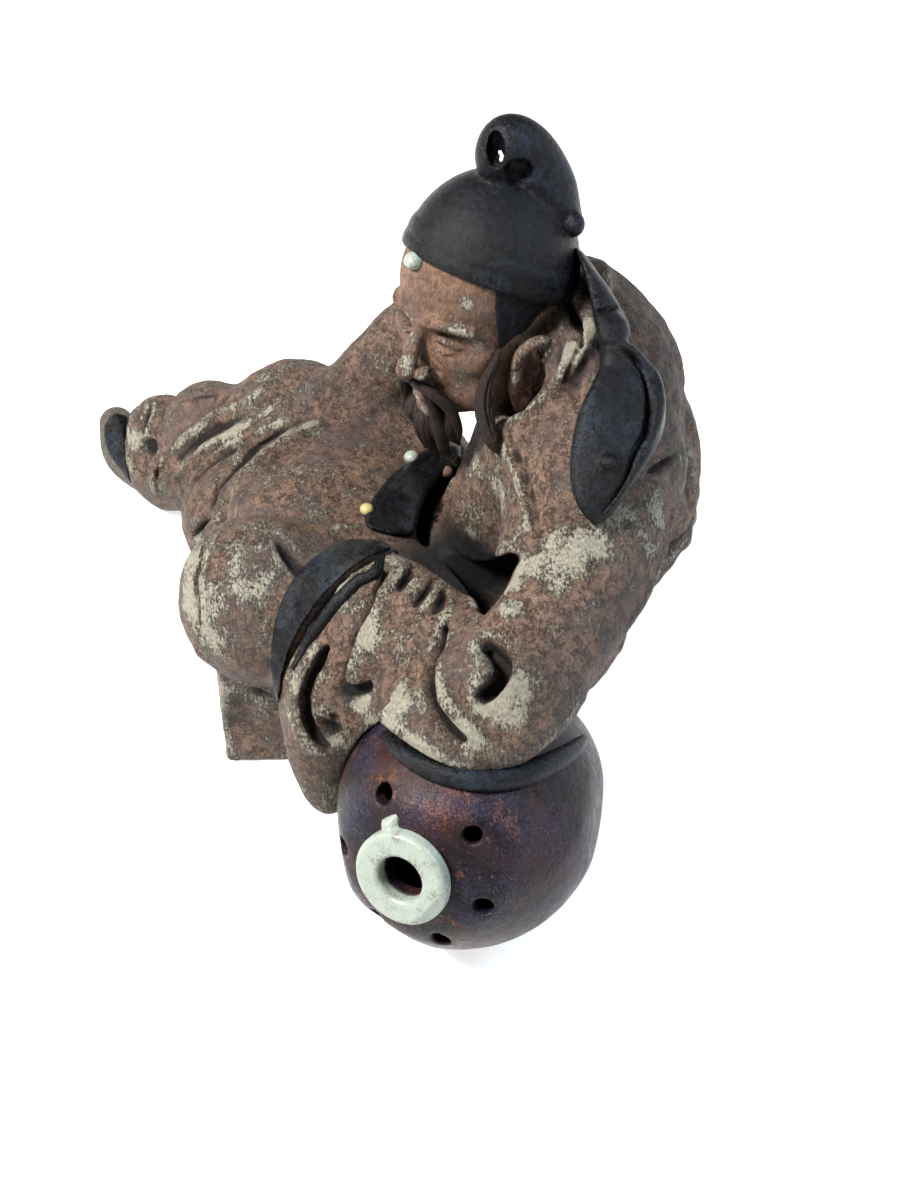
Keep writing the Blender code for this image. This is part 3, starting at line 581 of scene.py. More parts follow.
def carve_left_sleeve(clay):
    clay.draw(CUFF_GAP, 2.6, 4.2, blend=0.6)
    clay.draw([(x + 10, y + 8) for x, y in FOLD_FRONT], 7, -1.6, blend=3)
    clay.draw([(x - 9, y + 2) for x, y in FOLD_TIP], 6, -1.2, blend=3)
    clay.draw(ELBOW_LIP, 4.2, -1.8, blend=1.6)
    clay.draw(FOLD_FRONT, 4.0, 5.0, blend=0.8, ends=0.08)
    clay.draw(FOLD_FRONT_POOL, 7.0, 4.4, blend=1.2, ends=0.2)
    clay.draw(FOLD_TIP, 4.4, 6.0, blend=0.7, ends=0.12)
    clay.egg(clay.spot(TIP_HOLLOW), (3.0, 4.6, 3.2), turn=(20, 0, 0), blend=1.0, carve=True)
    clay.draw(TIP_LIP, 2.2, -1.1, blend=0.8)
    clay.draw(FOLD_ELBOW, 4.6, 6.0, blend=0.8, ends=0.08)
    for gather in GATHERS:
        clay.draw(gather, 3.4, 2.4, blend=1.0)
    for ridge in GATHER_RIDGES:
        clay.draw(ridge, 2.2, -0.8, blend=1.0)
    clay.draw(POCKET, 7.0, 8.0, blend=1.4, ends=0.22)
    clay.egg(clay.spot(ARM_KNOB), (3.0, 3.2, 2.4), blend=1.4)
    clay.draw(KNOB_CRESCENT, 1.2, -0.5, blend=0.4)
    clay.draw(ARM_CREASE, 1.8, 1.2, blend=0.6)


def sculpt_robe():
    clay = Clay((-106, -142, -6), (128, 76, 150), ROBE_GRAIN)
    body_masses(clay)
    legs(clay)
    right_sleeve(clay)
    left_sleeve(clay)
    collar(clay)
    clay.egg((25, 9, 119), (9, 8, 14), turn=(20, 0, 0), blend=3, carve=True)
    carve_right_leg(clay)
    carve_left_knee(clay)
    carve_chest_and_back(clay)
    carve_left_sleeve(clay)
    for pocket in POCKETS:
        clay.cut_outline(*pocket)
    for size, depth, seed in HAND_MARKS:
        clay.hand_marks(size, depth, seed)
    clay.cut_outline(*SLEEVE_ROOM)
    cut = clay.window((50, -50, -6), (136, 44, 72))[0]
    clay.field[cut] = np.maximum(clay.field[cut], SEAM - jar_distance(clay, cut))
    clay.cut_floor()
    return clay


# The head

HEAD = (8, 0, 141)          # parts: middle of the skull
HEAD_TURN = 43              # degrees that the face is turned to the figure's left
RIM = (0, 0, 0.5)           # a point of the cap's rim, and the way that the rim plane leans
RIM_LEAN = (0, 0.55, 1)


def mirrored(side, rows, base=(0, 0, 0)):
    """Places given from a base point, the first number turned round where side is -1."""
    return (np.array(rows, float) + base) * (side, 1, 1)


def face(clay):
    clay.egg((0, 2, 0), (20, 23, 25), blend=4)
    clay.egg((0, -6, -14), (15.5, 16, 23), blend=6)
    clay.egg((0, -9, 2), (14.5, 13, 11), blend=5)
    clay.egg((0, -9, -28), (10.5, 11, 8), blend=5)
    clay.egg((0, -18, -33), (4.6, 3.8, 3.6), blend=4)
    clay.limb([(0, 6, -20), (-1, 12, -34)], [13, 12], blend=5)
    for side in (-1, 1):
        clay.egg((side * 10, -14, -14), (6, 5.5, 5), blend=4)
        clay.egg((side * 12, -9, -24), (5, 7, 8), blend=5)
        clay.egg((side * 7.6, -23.6, -8.6), (5.2, 3.6, 3.4), blend=2, carve=True)
        clay.egg((side * 7.6, -18.0, -9.0), (4.4, 3.6, 3.2), blend=0.5)
        upper_lid = mirrored(side, [(3.6, -20.6, -9.4), (6.6, -22.0, -7.4), (9.6, -21.0, -7.6),
                                    (12.4, -18.0, -9.6)])
        lower_lid = mirrored(side, [(3.8, -20.6, -10.0), (7.2, -21.5, -11.4), (12.0, -18.2, -10.2)])
        brow = mirrored(side, [(2, -22.6, -4.2), (7.5, -22.4, -2.4), (13.5, -17.6, -4.6)])
        brow_line = mirrored(side, [(3.6, -23.4, -3.8), (8.2, -22.4, -1.8), (13.4, -17.8, -4.2)])
        eye_slit = mirrored(side, [(4.2, -21.4, -9.7), (7.4, -22.0, -9.4), (11.8, -18.6, -9.9)])
        clay.limb(upper_lid, [0.5, 0.8, 0.8, 0.5], blend=0.7)
        clay.limb(lower_lid, [0.4, 0.6, 0.4], blend=0.6)
        clay.limb(brow, [1.2, 1.7, 1.1], blend=2)
        clay.stroke(brow_line, 1.9, 0.9, 0.5)
        clay.stroke(eye_slit, 0.8, 0.6, 0.2)
    clay.limb([(0, -21.4, -4), (0, -24.2, -11), (0, -27.2, -17.2)], [1.5, 1.8, 2.3], blend=1.8)
    clay.egg((0, -27.4, -17.9), (2.7, 2.4, 2.2), blend=1.0)
    for side in (-1, 1):
        clay.egg((side * 3.2, -24.4, -18.4), (1.9, 2.6, 1.8), blend=0.9)
        clay.egg((side * 1.7, -26.2, -20.3), (0.9, 1.3, 0.8), blend=0.3, carve=True)
        cheek_line = mirrored(side, [(5.4, -23.0, -17.6), (7.6, -21.4, -21.0), (8.6, -19.4, -25.5)])
        clay.stroke(cheek_line, 1.4, 0.6, 0.9)
    upper_lip = [(-5.2, -20.8, -25.2), (-1.6, -23.2, -24.4), (1.6, -23.2, -24.4), (5.2, -20.8, -25.2)]
    clay.limb(upper_lip, 1.0, blend=0.8)
    clay.limb([(-4.0, -20.8, -27.4), (0, -22.6, -27.8), (4.0, -20.8, -27.4)], [0.8, 1.3, 0.8], blend=0.8)
    clay.stroke([(-4.8, -21.4, -26.0), (0, -23.6, -25.9), (4.8, -21.4, -26.0)], 0.8, 0.8, 0.2)


EAR = (18.6, -3.4, -19.5)   # middle of the ear's base, in the head's frame


def ear(clay, side):
    """A fleshy ear: a flat base, a curled rim, a bowl and a lobe."""
    lean = (-12, 0, side * 14)
    rim = [(1.4, -4.5, 4.0), (2.8, -3.1, 8.6), (4.0, 1.5, 9.8), (4.4, 5.3, 6.4), (3.6, 5.4, 0.5),
           (2.4, 3.0, -5.4)]
    inner_fold = [(2.6, 2.1, 5.2), (2.8, 2.9, 1.2), (2.2, 0.9, -3.4)]
    clay.egg(mirrored(side, (0, 0, 0), EAR), (2.8, 5.6, 9.8), turn=lean, blend=0.8)
    clay.limb(mirrored(side, rim, EAR), [1.0, 1.5, 1.7, 1.7, 1.5, 1.2], blend=0.7)
    clay.egg(mirrored(side, (4.0, -0.2, 1.6), EAR), (2.4, 3.1, 5.4), turn=lean, blend=0.6, carve=True)
    clay.limb(mirrored(side, inner_fold, EAR), 1.0, blend=0.6)
    clay.egg(mirrored(side, (1.4, -0.9, -8.6), EAR), (2.5, 3.3, 3.8), blend=1.2)
    clay.egg(mirrored(side, (1.6, -4.4, -0.6), EAR), (1.3, 1.3, 2.0), blend=0.6)


def sculpt_head():
    clay = Clay((-24, -36, 92), (44, 34, 170), HEAD_GRAIN)
    clay.stand_at(HEAD, (0, 0, HEAD_TURN))
    face(clay)
    for side in (-1, 1):
        ear(clay, side)
    cut = clay.whole()
    clay.field = soft_max(clay.field, clay.plane(cut, (0, 0, 6), RIM_LEAN), 0.5)
    return clay


CURL = [(3, 17, 154), (3, 15.6, 163), (3, 11, 171.5), (4, 6.2, 175.3), (5, 3.6, 173.0), (5.5, 2.6, 169)]
CURL_VALLEY = (519, 171)
CURL_HOLLOW = (496, 149)
CURL_GAP = ((500, 152), (502, 156), (501, 160))
GAP_AWAY = 459.0             # parts: from the camera to the curl's gap
CAP_KNOB = (574, 224)
CAP_PEARL = (416, 261)


def sculpt_cap():
    clay = Clay((-24, -36, 128), (44, 42, 186), GLAZE_GRAIN)
    clay.stand_at(HEAD, (0, 0, HEAD_TURN))
    cut, form = clay.egg_field((0, 2, 0), (22, 25, 26.5))
    clay.join((cut, soft_max(form, -clay.plane(cut, RIM, RIM_LEAN), 1.2)))
    for lift, reach in ((1.8, 0.3), (6.5, 0.15)):
        cut, form = clay.egg_field((0, 2, 0), (22 + reach, 25 + reach, 26.5 + reach))
        band = np.abs(clay.plane(cut, (0, 0, RIM[2] + lift), RIM_LEAN)) - 1.5
        clay.join((cut, soft_max(form, band, 1)), 1.2)
    clay.stand_at((0, 0, 0))
    clay.limb(CURL, [8, 7.4, 7.2, 7.0, 6.2, 4.6], blend=1.5)
    clay.egg(clay.spot(CURL_VALLEY), (3.4, 3.6, 3.0), turn=(-40, 0, 0), blend=1.6, carve=True)
    clay.egg(clay.spot(CURL_HOLLOW) + AHEAD, (4.6, 2.1, 3.9), turn=(0, 42, 0), blend=0.8, carve=True)
    for pixel in CURL_GAP:
        ray = picture_rays([pixel])[0]
        gap = CAMERA_AT + ray * GAP_AWAY
        clay.limb([gap - ray * 14, gap + ray * 14], 0.55, blend=0.2, carve=True)
    clay.egg(clay.spot(CAP_KNOB), (3.4, 2.8, 3.2), blend=0.5)
    return clay


TEMPLE_HAIR = [
    (496, 286), (495, 308), (497, 330), (499, 347), (506, 345), (516, 336), (526, 331), (536, 318),
    (550, 306), (561, 300), (562, 284), (530, 278),
]


def temple_hair(head):
    """A glazed patch between the cap's rim and the ear."""
    return glazed_patch(head, (14, -14, 124), (34, 26, 152), 0.7, 1.2, TEMPLE_HAIR, 0.5)


SIDE_LOCK = [(498, 352), (493, 366), (486, 382), (483, 400), (486, 422), (492, 440), (499, 455)]
SIDE_STRANDS = (
    [(497, 365), (489, 385), (486, 405), (490, 425), (495, 440)],
    [(501, 370), (494, 388), (490, 408), (494, 426)],
)
BEARD_LOCK = [(424, 392), (432, 406), (438, 422), (442, 438), (443, 455)]


def hang(pixels, first, last):
    """A curve through picture points that leaves the surface of one form and ends at another."""
    pixels = smooth_path(pixels, 5)
    start = np.linalg.norm(first.spot(pixels[0]) - CAMERA_AT) - 1.0
    end = np.linalg.norm(last.spot(pixels[-1]) - CAMERA_AT) - 2.5
    share = np.linspace(0, 1, len(pixels))[:, None]
    return CAMERA_AT + picture_rays(pixels) * (start + (min(end, start + 14) - start) * share)


def sculpt_hair(head, robe):
    """Moustache, chin beard and the locks before the ears."""
    clay = Clay((-24, -40, 80), (44, 34, 140), HEAD_GRAIN)
    clay.stand_at(HEAD, (0, 0, HEAD_TURN))
    tips = ((0, -16, -52), (-4, -17, -50), (4, -15.5, -49), (-8, -16, -46), (7, -15, -44), (-11, -15, -42))
    for index, tip in enumerate(tips):
        root = (tip[0] * 0.6, -18.6 + abs(tip[0]) * 0.35, -30.5 - (index % 2))
        bend = (tip[0] * 0.95, -20.2 + abs(tip[0]) * 0.25, (root[2] + tip[2]) / 2)
        clay.limb([root, bend, tip], [2.5, 2.1, 0.5], blend=0.5)
    for side in (-1, 1):
        moustache = mirrored(side, [(1.2, -24.8, -22.4), (5.2, -23.4, -24.0), (8.8, -20.4, -28.5),
                                    (10.2, -18.6, -35), (10.0, -17.8, -40)])
        clay.limb(moustache, [1.1, 1.6, 1.6, 1.3, 0.4], blend=0.4)
    for index in range(9):
        across = -9 + 2.2 * index
        strand = [(across * 0.7, -24, -31), (across, -24, -38), (across * 1.05, -22, -46)]
        clay.stroke(strand, 0.8, 0.45, 0.3)
    clay.stand_at((0, 0, 0))
    for pixels, wide in ((SIDE_LOCK, 2.5), (BEARD_LOCK, 2.3)):
        path = hang(pixels, head, robe)
        swell = np.interp(np.linspace(0, 1, len(path)), (0, 0.3, 0.6, 0.85, 1), (0.35, 0.65, 1.0, 0.75, 0.1))
        clay.join(clay.limb_field(path, swell * wide, None, None, 1, 4), 0.4)
    for pixels in SIDE_STRANDS:
        clay.draw(pixels, 0.9, 0.8, blend=0.3)
    clay.stand_at(HEAD, (0, 0, HEAD_TURN))
    clay.limb([(-18, -8, -20), (-17, -10, -28), (-15, -11, -38)], [1.4, 2.4, 0.6], blend=0.4)
    return clay


# Glazed pieces on the robe

LEAF = [
    (573, 247), (582, 268), (588, 289), (592, 309), (594, 322), (598, 344), (600, 362), (594, 380),
    (582, 404), (574, 429), (570, 460), (571, 485), (578, 507), (589, 521), (597, 525), (614, 512),
    (629, 491), (641, 473), (654, 453), (663, 433), (667, 404), (665, 380), (656, 355), (638, 328),
    (618, 295), (596, 268), (581, 250),
]
LEAF_CREASE = [
    (622, 347), (634, 358), (644, 374), (649, 395), (649, 413), (645, 434), (636, 452), (628, 474),
    (617, 494), (603, 512),
]
LEAF_RIDGE = [(612, 342), (629, 348), (643, 358), (655, 375), (660, 400), (656, 424), (648, 444)]
LEAF_BOSS = (608, 461)
LEAF_PINCH = [(590, 315), (600, 311), (616, 306)]
LEAF_LAYERS = (0, 5, 9)      # parts: how far behind its front the ribbon is laid again
RIBBON_NECK = np.array([(8, 22, 149), (19, 27, 143), (27, 31, 138)])
RIBBON_BULGES = (((29, 30.5, 137), (6.4, 6, 4.6)), ((34, 32, 132), (6.6, 6, 4.8)))
RIBBON_FALL = np.array([(35, 33, 129), (43, 33.5, 127), (52, 33.5, 121), (60, 30, 115), (68, 27, 107)])


def sculpt_leaf():
    """The cap's ribbon: it leaves the knot, bulges twice and ends in a long leaf over the shoulder."""
    clay = Clay((0, 8, 96), (86, 56, 166), GLAZE_GRAIN)
    for sunk in LEAF_LAYERS:
        back = AHEAD * sunk
        clay.limb(RIBBON_NECK + back, [5, 6, 6.5], thin=[2.6, 3, 3], up=(0.5, 0.6, 0.6), blend=1)
        for middle, radii in RIBBON_BULGES:
            clay.egg(middle + back, radii, blend=1)
        clay.limb(RIBBON_FALL + back, [8, 12, 14, 13, 9], thin=[3, 4.5, 5, 5, 4], up=(0.45, 0.3, 0.84),
                  blend=1)
    clay.field = soft_max(clay.field, clay.inside_outline(clay.whole(), outline(LEAF, 4)), 2.6)
    clay.draw(LEAF_RIDGE, 4.2, -1.2, blend=1.2)
    clay.draw(LEAF_CREASE, 2.6, 2.4, blend=0.8)
    clay.draw(LEAF_PINCH, 1.6, 1.4, blend=0.8)
    clay.egg(clay.spot(LEAF_BOSS), (2.4, 2.2, 1.8), blend=0.8)
    return clay


BELT = [
    (461, 443), (447, 443), (436, 446), (421, 452), (413, 460), (402, 467), (392, 474), (382, 486),
    (373, 498), (366, 513), (366, 526), (384, 533), (400, 535), (413, 533), (418, 514), (424, 498),
    (431, 486), (440, 475), (450, 468), (460, 464),
]
BELT_FOLD = [(452, 450), (434, 455), (418, 466), (404, 480), (391, 496), (383, 512)]
BELT_PEARL = (410, 460)
BELT_BEAD = (366, 513)
BELT_PLATE = (444, 471)


def sculpt_belt(robe):
    """The dark strap that crosses the lap."""
    clay = glazed_patch(robe, (-44, -46, 40), (40, 8, 84), 1.9, 2.5, BELT, 1.6)
    clay.draw(BELT_FOLD, 1.8, 0.7, blend=1.2)
    return clay


CUFF_BAND = [
    (402, 531), (386, 529), (362, 533), (339, 541), (317, 555), (296, 575), (281, 603), (273, 632),
    (271, 660), (274, 696), (279, 701), (284, 668), (296, 637), (316, 605), (342, 577), (368, 558),
    (408, 541),
]
CUFF_ROLL = [(409, 549), (379, 565), (357, 582), (339, 600), (322, 622), (306, 645), (294, 668)]
CUFF_BOX = ((40, -76, 28), (104, -8, 100))


def cuff_band(robe):
    """The wide glazed border of the sleeve's mouth."""
    return glazed_patch(robe, *CUFF_BOX, 1.0, 3.0, CUFF_BAND, 0.9)


def cuff_roll(robe):
    """The thin roll behind the border."""
    clay = robe.piece_of(*CUFF_BOX)
    path = robe.on_surface(smooth_path(robe.cast(CUFF_ROLL)))
    width = np.sqrt(np.sin(np.pi * np.linspace(0.08, 0.92, len(path)))) * 1.9
    cut, form = clay.limb_field(path, width, None, None, 1, 4)
    clay.field[:] = FAR
    clay.join((cut, form))
    return clay


JAR_ROLL = [
    (388, 738), (402, 753), (424, 767), (449, 776), (475, 780), (502, 779), (529, 773), (553, 762),
    (569, 752), (580, 742),
]


def sculpt_roll():
    """The glazed roll of cloth that lies on the jar under the sleeve."""
    jar = Clay((70, -44, 20), (138, 40, 80), 1.0)
    jar.field = jar_distance(jar, jar.whole())
    path = jar.cast(smooth_path(JAR_ROLL, 4))
    wide = np.sqrt(np.sin(np.pi * np.linspace(0.06, 0.94, len(path)))) * 3.3
    clay = Clay((70, -40, 40), (128, 36, 78), GLAZE_GRAIN)
    clay.join(clay.limb_field(path + jar.outward(path) * 0.9, wide, None, None, 1, 4))
    clay.field = np.maximum(clay.field, SEAM - jar_distance(clay, clay.whole()))
    return clay


SHOE_UPPER = [
    (117, 413), (109, 418), (104, 428), (105, 442), (110, 456), (120, 470), (131, 483), (127, 466),
    (125, 447), (126, 428), (128, 417),
]
SHOE_BOX = ((-102, -136, -2), (-58, -90, 40))


def sculpt_shoe():
    clay = Clay(*SHOE_BOX, GLAZE_GRAIN)
    clay.limb([(-76, -106, 11), (-86, -119, 11), (-90, -123, 20)], [11, 9, 6], blend=3)
    clay.cut_floor()
    return clay


def shoe_upper(shoe):
    return glazed_patch(shoe, *SHOE_BOX, 0.6, 2.0, SHOE_UPPER, 0.5)


# The wine jar

JAR_STANDS = (98, -4)       # parts: where the widest circle's centre stands over the floor
JAR_RADIUS = 33.9
JAR_SUNK = 0.7              # parts: how far the underside is rubbed flat
JAR_MIDDLE = (*JAR_STANDS, JAR_RADIUS - JAR_SUNK)
JAR_TURN = math.radians(61)
JAR_TILT = math.radians(17)
JAR_AXIS = np.array((math.sin(JAR_TURN) * math.cos(JAR_TILT), -math.cos(JAR_TURN) * math.cos(JAR_TILT),
                     math.sin(JAR_TILT)))
JAR_LENGTH = 72.0
RING_DEPTH = 4.0
JAR_BACK = (JAR_LENGTH - RING_DEPTH) * 0.51
JAR_WALL = 4.2
RING_RADIUS = 12.6
RING_EDGE = 1.5             # parts: rounding of the ring's edges
MOUTH_RADIUS = 6.0
HOLE_RADIUS = 2.3
HOLE_CIRCLE = 20.0
HOLE_ANGLES = (122, 48, -9, -58, -113, -172)
HOLE_RUN = (16, 42)          # parts: along the axis from the widest circle
JAR_FLATS = (
    ((0.56, -0.54, -0.62), 33.6), ((0.2, 0.95, 0.1), 33.0), ((0.55, 0.6, 0.58), 33.2),
    ((0.9, -0.1, 0.42), 34.2), ((0.1, -0.97, -0.1), 33.3), ((0.55, 0.45, -0.7), 33.4),
    ((-0.2, 0.3, 0.93), 33.2),
)
JAR_SHARES = ((0.0, 0.66), (0.04, 0.72), (0.18, 0.86), (0.35, 0.97), (0.51, 1.0), (0.66, 0.965),
              (0.80, 0.85), (0.90, 0.72), (0.97, 0.56))


def jar_rows():
    """Place along the axis from the widest circle, and outer radius."""
    body = JAR_LENGTH - RING_DEPTH
    rows = [(share * body - JAR_BACK, wide * JAR_RADIUS) for share, wide in JAR_SHARES]
    return np.array(rows + [(body - JAR_BACK, RING_RADIUS - 0.8)])


def jar_places(clay, cut):
    """Place along the jar's axis and distance from it, on a window."""
    x, y, z = (axis[part] - at for axis, part, at in zip(clay.axes, cut, JAR_MIDDLE))
    x, y, z = x[:, None, None], y[None, :, None], z[None, None, :]
    along = x * JAR_AXIS[0] + y * JAR_AXIS[1] + z * JAR_AXIS[2]
    return along, np.sqrt(np.maximum(x * x + y * y + z * z - along * along, 0))


def jar_distance(clay, cut, inset=0.0):
    along, away = jar_places(clay, cut)
    rows = smooth_path(jar_rows(), 5)
    radius = np.interp(along, rows[:, 0], rows[:, 1])
    slope = np.interp(along, rows[:, 0], np.gradient(rows[:, 1], rows[:, 0]))
    side = (away - radius) / np.sqrt(1 + slope * slope) + inset
    return np.maximum(side, np.maximum(rows[0, 0] - along + inset, along - rows[-1, 0] + inset))


def jar_frame():
    across = np.cross((0, 0, 1), JAR_AXIS)
    across /= np.linalg.norm(across)
    return across, np.cross(JAR_AXIS, across)


def sculpt_jar():
    clay = Clay((52, -44, -2), (138, 40, 76), 0.55)
    cut = clay.whole()
    outer = jar_distance(clay, cut)
    inner = jar_distance(clay, cut, JAR_WALL)
    along, away = jar_places(clay, cut)
    clay.field = soft_max(outer, -inner, 0.6)
    clay.field = soft_max(clay.field, -np.maximum(away - MOUTH_RADIUS, -along), 0.5)
    middle = np.array(JAR_MIDDLE)
    across, upright = jar_frame()
    for normal, reach in JAR_FLATS:
        normal = np.array(normal) / np.linalg.norm(normal)
        clay.field = soft_max(clay.field, clay.plane(cut, middle + normal * reach, normal), 1.6)
    for angle in np.radians(HOLE_ANGLES):
        out = (across * math.cos(angle) + upright * math.sin(angle)) * HOLE_CIRCLE
        path = [middle + out + JAR_AXIS * place for place in HOLE_RUN]
        clay.limb(path, HOLE_RADIUS, blend=0.8, carve=True)
    clay.cut_floor()
    return clay


def sculpt_ring():
    clay = Clay((112, -40, 26), (138, -2, 64), 0.4)
    middle = np.array(JAR_MIDDLE)
    across, upright = jar_frame()
    cut = clay.whole()
    along, away = jar_places(clay, cut)
    seat = JAR_LENGTH - RING_DEPTH - JAR_BACK
    centre = (RING_RADIUS + MOUTH_RADIUS) / 2
    half = (RING_RADIUS - MOUTH_RADIUS) / 2
    side = np.abs(away - centre) - (half - RING_EDGE)
    thick = np.abs(along - (seat + RING_DEPTH / 2 - 0.4)) - (RING_DEPTH / 2 + 0.4 - RING_EDGE)
    outside = np.sqrt(np.maximum(side, 0) ** 2 + np.maximum(thick, 0) ** 2)
    clay.field = (outside + np.minimum(np.maximum(side, thick), 0) - RING_EDGE).astype(np.float32)
    lean = math.radians(20)
    out = upright * math.cos(lean) - across * math.sin(lean)
    top = middle + out * (RING_RADIUS - 0.5) + JAR_AXIS * (seat - 0.6)
    clay.limb([top - across * 2, top + out * 3.4 - JAR_AXIS], [2.6, 0.5], blend=0.6)
    return clay


# From fields to pieces

def show(name, clay, paint, values=None):
    """Mesh a field, keep it inside the model's box, and make it a piece on the root body."""
    grid = openvdb.FloatGrid(background=FAR)
    grid.copyFromArray(np.clip(clay.field, -FAR, FAR), tolerance=0.0)
    points, triangles, quads = grid.convertToPolygons(isovalue=0.0, adaptivity=0.0)
    points = (points * clay.step + clay.low) * PART
    mesh = bpy.data.meshes.new(name)
    mesh.from_pydata(points.tolist(), [], triangles.tolist() + quads.tolist())
    piece = bpy.data.objects.new(name, mesh)
    bpy.context.scene.collection.objects.link(piece)
    mesh.calc_loop_triangles()
    count = len(mesh.loop_triangles)
    if count > MOST_FACES:
        modifier = piece.modifiers.new("thin", "DECIMATE")
        modifier.ratio = MOST_FACES / count
        bpy.context.view_layer.update()
        evaluated = piece.evaluated_get(bpy.context.evaluated_depsgraph_get())
        mesh = bpy.data.meshes.new_from_object(evaluated)
        piece.modifiers.clear()
        piece.data = mesh
    places = np.zeros(len(mesh.vertices) * 3, np.float32)
    mesh.vertices.foreach_get("co", places)
    places = places.reshape(-1, 3)
    places = np.clip(places, np.array(cad_low, np.float32), np.array(cad_high, np.float32))
    mesh.vertices.foreach_set("co", places.ravel())
    for key, field in (values or {}).items():
        amounts = field(places / PART)
        mesh.attributes.new(key, "FLOAT", "POINT").data.foreach_set("value", amounts.astype(np.float32))
    mesh.shade_smooth()
    mesh.update()
    mesh.materials.append(paint)
    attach(piece, "root")
    print(name, len(mesh.polygons))
    return piece


def relief_of(clay, cells=1):
    """A function that gives how far points stand out of the clay around them."""
    cut = tuple(slice(0, len(axis), 2) for axis in clay.axes)
    coarse = Clay((0, 0, 0), (1, 1, 1), clay.step * 2)
    coarse.axes = [axis[part] for axis, part in zip(clay.axes, cut)]
    coarse.low = clay.low
    base = np.clip(clay.field[cut], -4, 4)
    coarse.field = blurred(base, cells) - base
    return coarse.read


# Materials

def new_material(name):
    made = bpy.data.materials.new(name)
    made.use_nodes = True
    nodes, links = made.node_tree.nodes, made.node_tree.links
    return made, nodes, links, nodes["Principled BSDF"]


class Paint:
    """Short ways to write a node material in object space."""

    def __init__(self, name):
        self.made, self.nodes, self.links, self.shader = new_material(name)
        self.space = self.nodes.new("ShaderNodeTexCoord").outputs["Object"]

    def noise(self, size, detail=3.0, rough=0.55, stretch=None):
        """Noise with features of this size in metres."""
        node = self.nodes.new("ShaderNodeTexNoise")
        node.inputs["Scale"].default_value = 1.0 / size
        node.inputs["Detail"].default_value = detail
        node.inputs["Roughness"].default_value = rough
        source = self.space
        if stretch is not None:
            mapping = self.nodes.new("ShaderNodeMapping")
            mapping.inputs["Scale"].default_value = stretch
            self.links.new(source, mapping.inputs["Vector"])
            source = mapping.outputs["Vector"]
        self.links.new(source, node.inputs["Vector"])
        return node.outputs["Fac"]

    def value(self, key):
        node = self.nodes.new("ShaderNodeAttribute")
        node.attribute_name = key
        return node.outputs["Fac"]

    def ramp(self, source, low, high, start=0.0, end=1.0):
        node = self.nodes.new("ShaderNodeMapRange")
        node.interpolation_type = "SMOOTHSTEP"
        for key, number in (("From Min", low), ("From Max", high), ("To Min", start), ("To Max", end)):
            node.inputs[key].default_value = number
        self.links.new(source, node.inputs["Value"])
        return node.outputs["Result"]

    def sum(self, a, b, kind="ADD"):
        node = self.nodes.new("ShaderNodeMath")
        node.operation = kind
        for index, source in enumerate((a, b)):
            if isinstance(source, (int, float)):
                node.inputs[index].default_value = source
            else:
                self.links.new(source, node.inputs[index])
        return node.outputs["Value"]

    def mix(self, amount, a, b):
        node = self.nodes.new("ShaderNodeMix")
        node.data_type = "RGBA"
        self.links.new(amount, node.inputs["Factor"])
        for key, source in (("A", a), ("B", b)):
            socket = [s for s in node.inputs if s.name == key and s.type == "RGBA"][0]
            if isinstance(source, tuple):
                socket.default_value = (*source, 1.0)
            else:
                self.links.new(source, socket)
        return [s for s in node.outputs if s.type == "RGBA"][0]

    def weighed(self, *rows):
        """The sum of sources, each times its weight."""
        total = None
        for source, weight in rows:
            part = self.sum(source, weight, "MULTIPLY")
            total = part if total is None else self.sum(total, part)
        return total

    def centred(self, source):
        """A noise around zero."""
        return self.sum(source, 0.5, "SUBTRACT")

    def finish(self, colour, roughness, heights, specular=0.5):
        """heights is a list of (source, depth in metres)."""
        shader = self.shader
        self.links.new(colour, shader.inputs["Base Color"])
        if isinstance(roughness, float):
            shader.inputs["Roughness"].default_value = roughness
        else:
            self.links.new(roughness, shader.inputs["Roughness"])
        shader.inputs["Specular IOR Level"].default_value = specular
        normal = None
        for source, depth in heights:
            bump = self.nodes.new("ShaderNodeBump")
            bump.inputs["Distance"].default_value = depth
            bump.inputs["Strength"].default_value = 1.0
            self.links.new(source, bump.inputs["Height"])
            if normal is not None:
                self.links.new(normal, bump.inputs["Normal"])
            normal = bump.outputs["Normal"]
        self.links.new(normal, shader.inputs["Normal"])
        return self.made


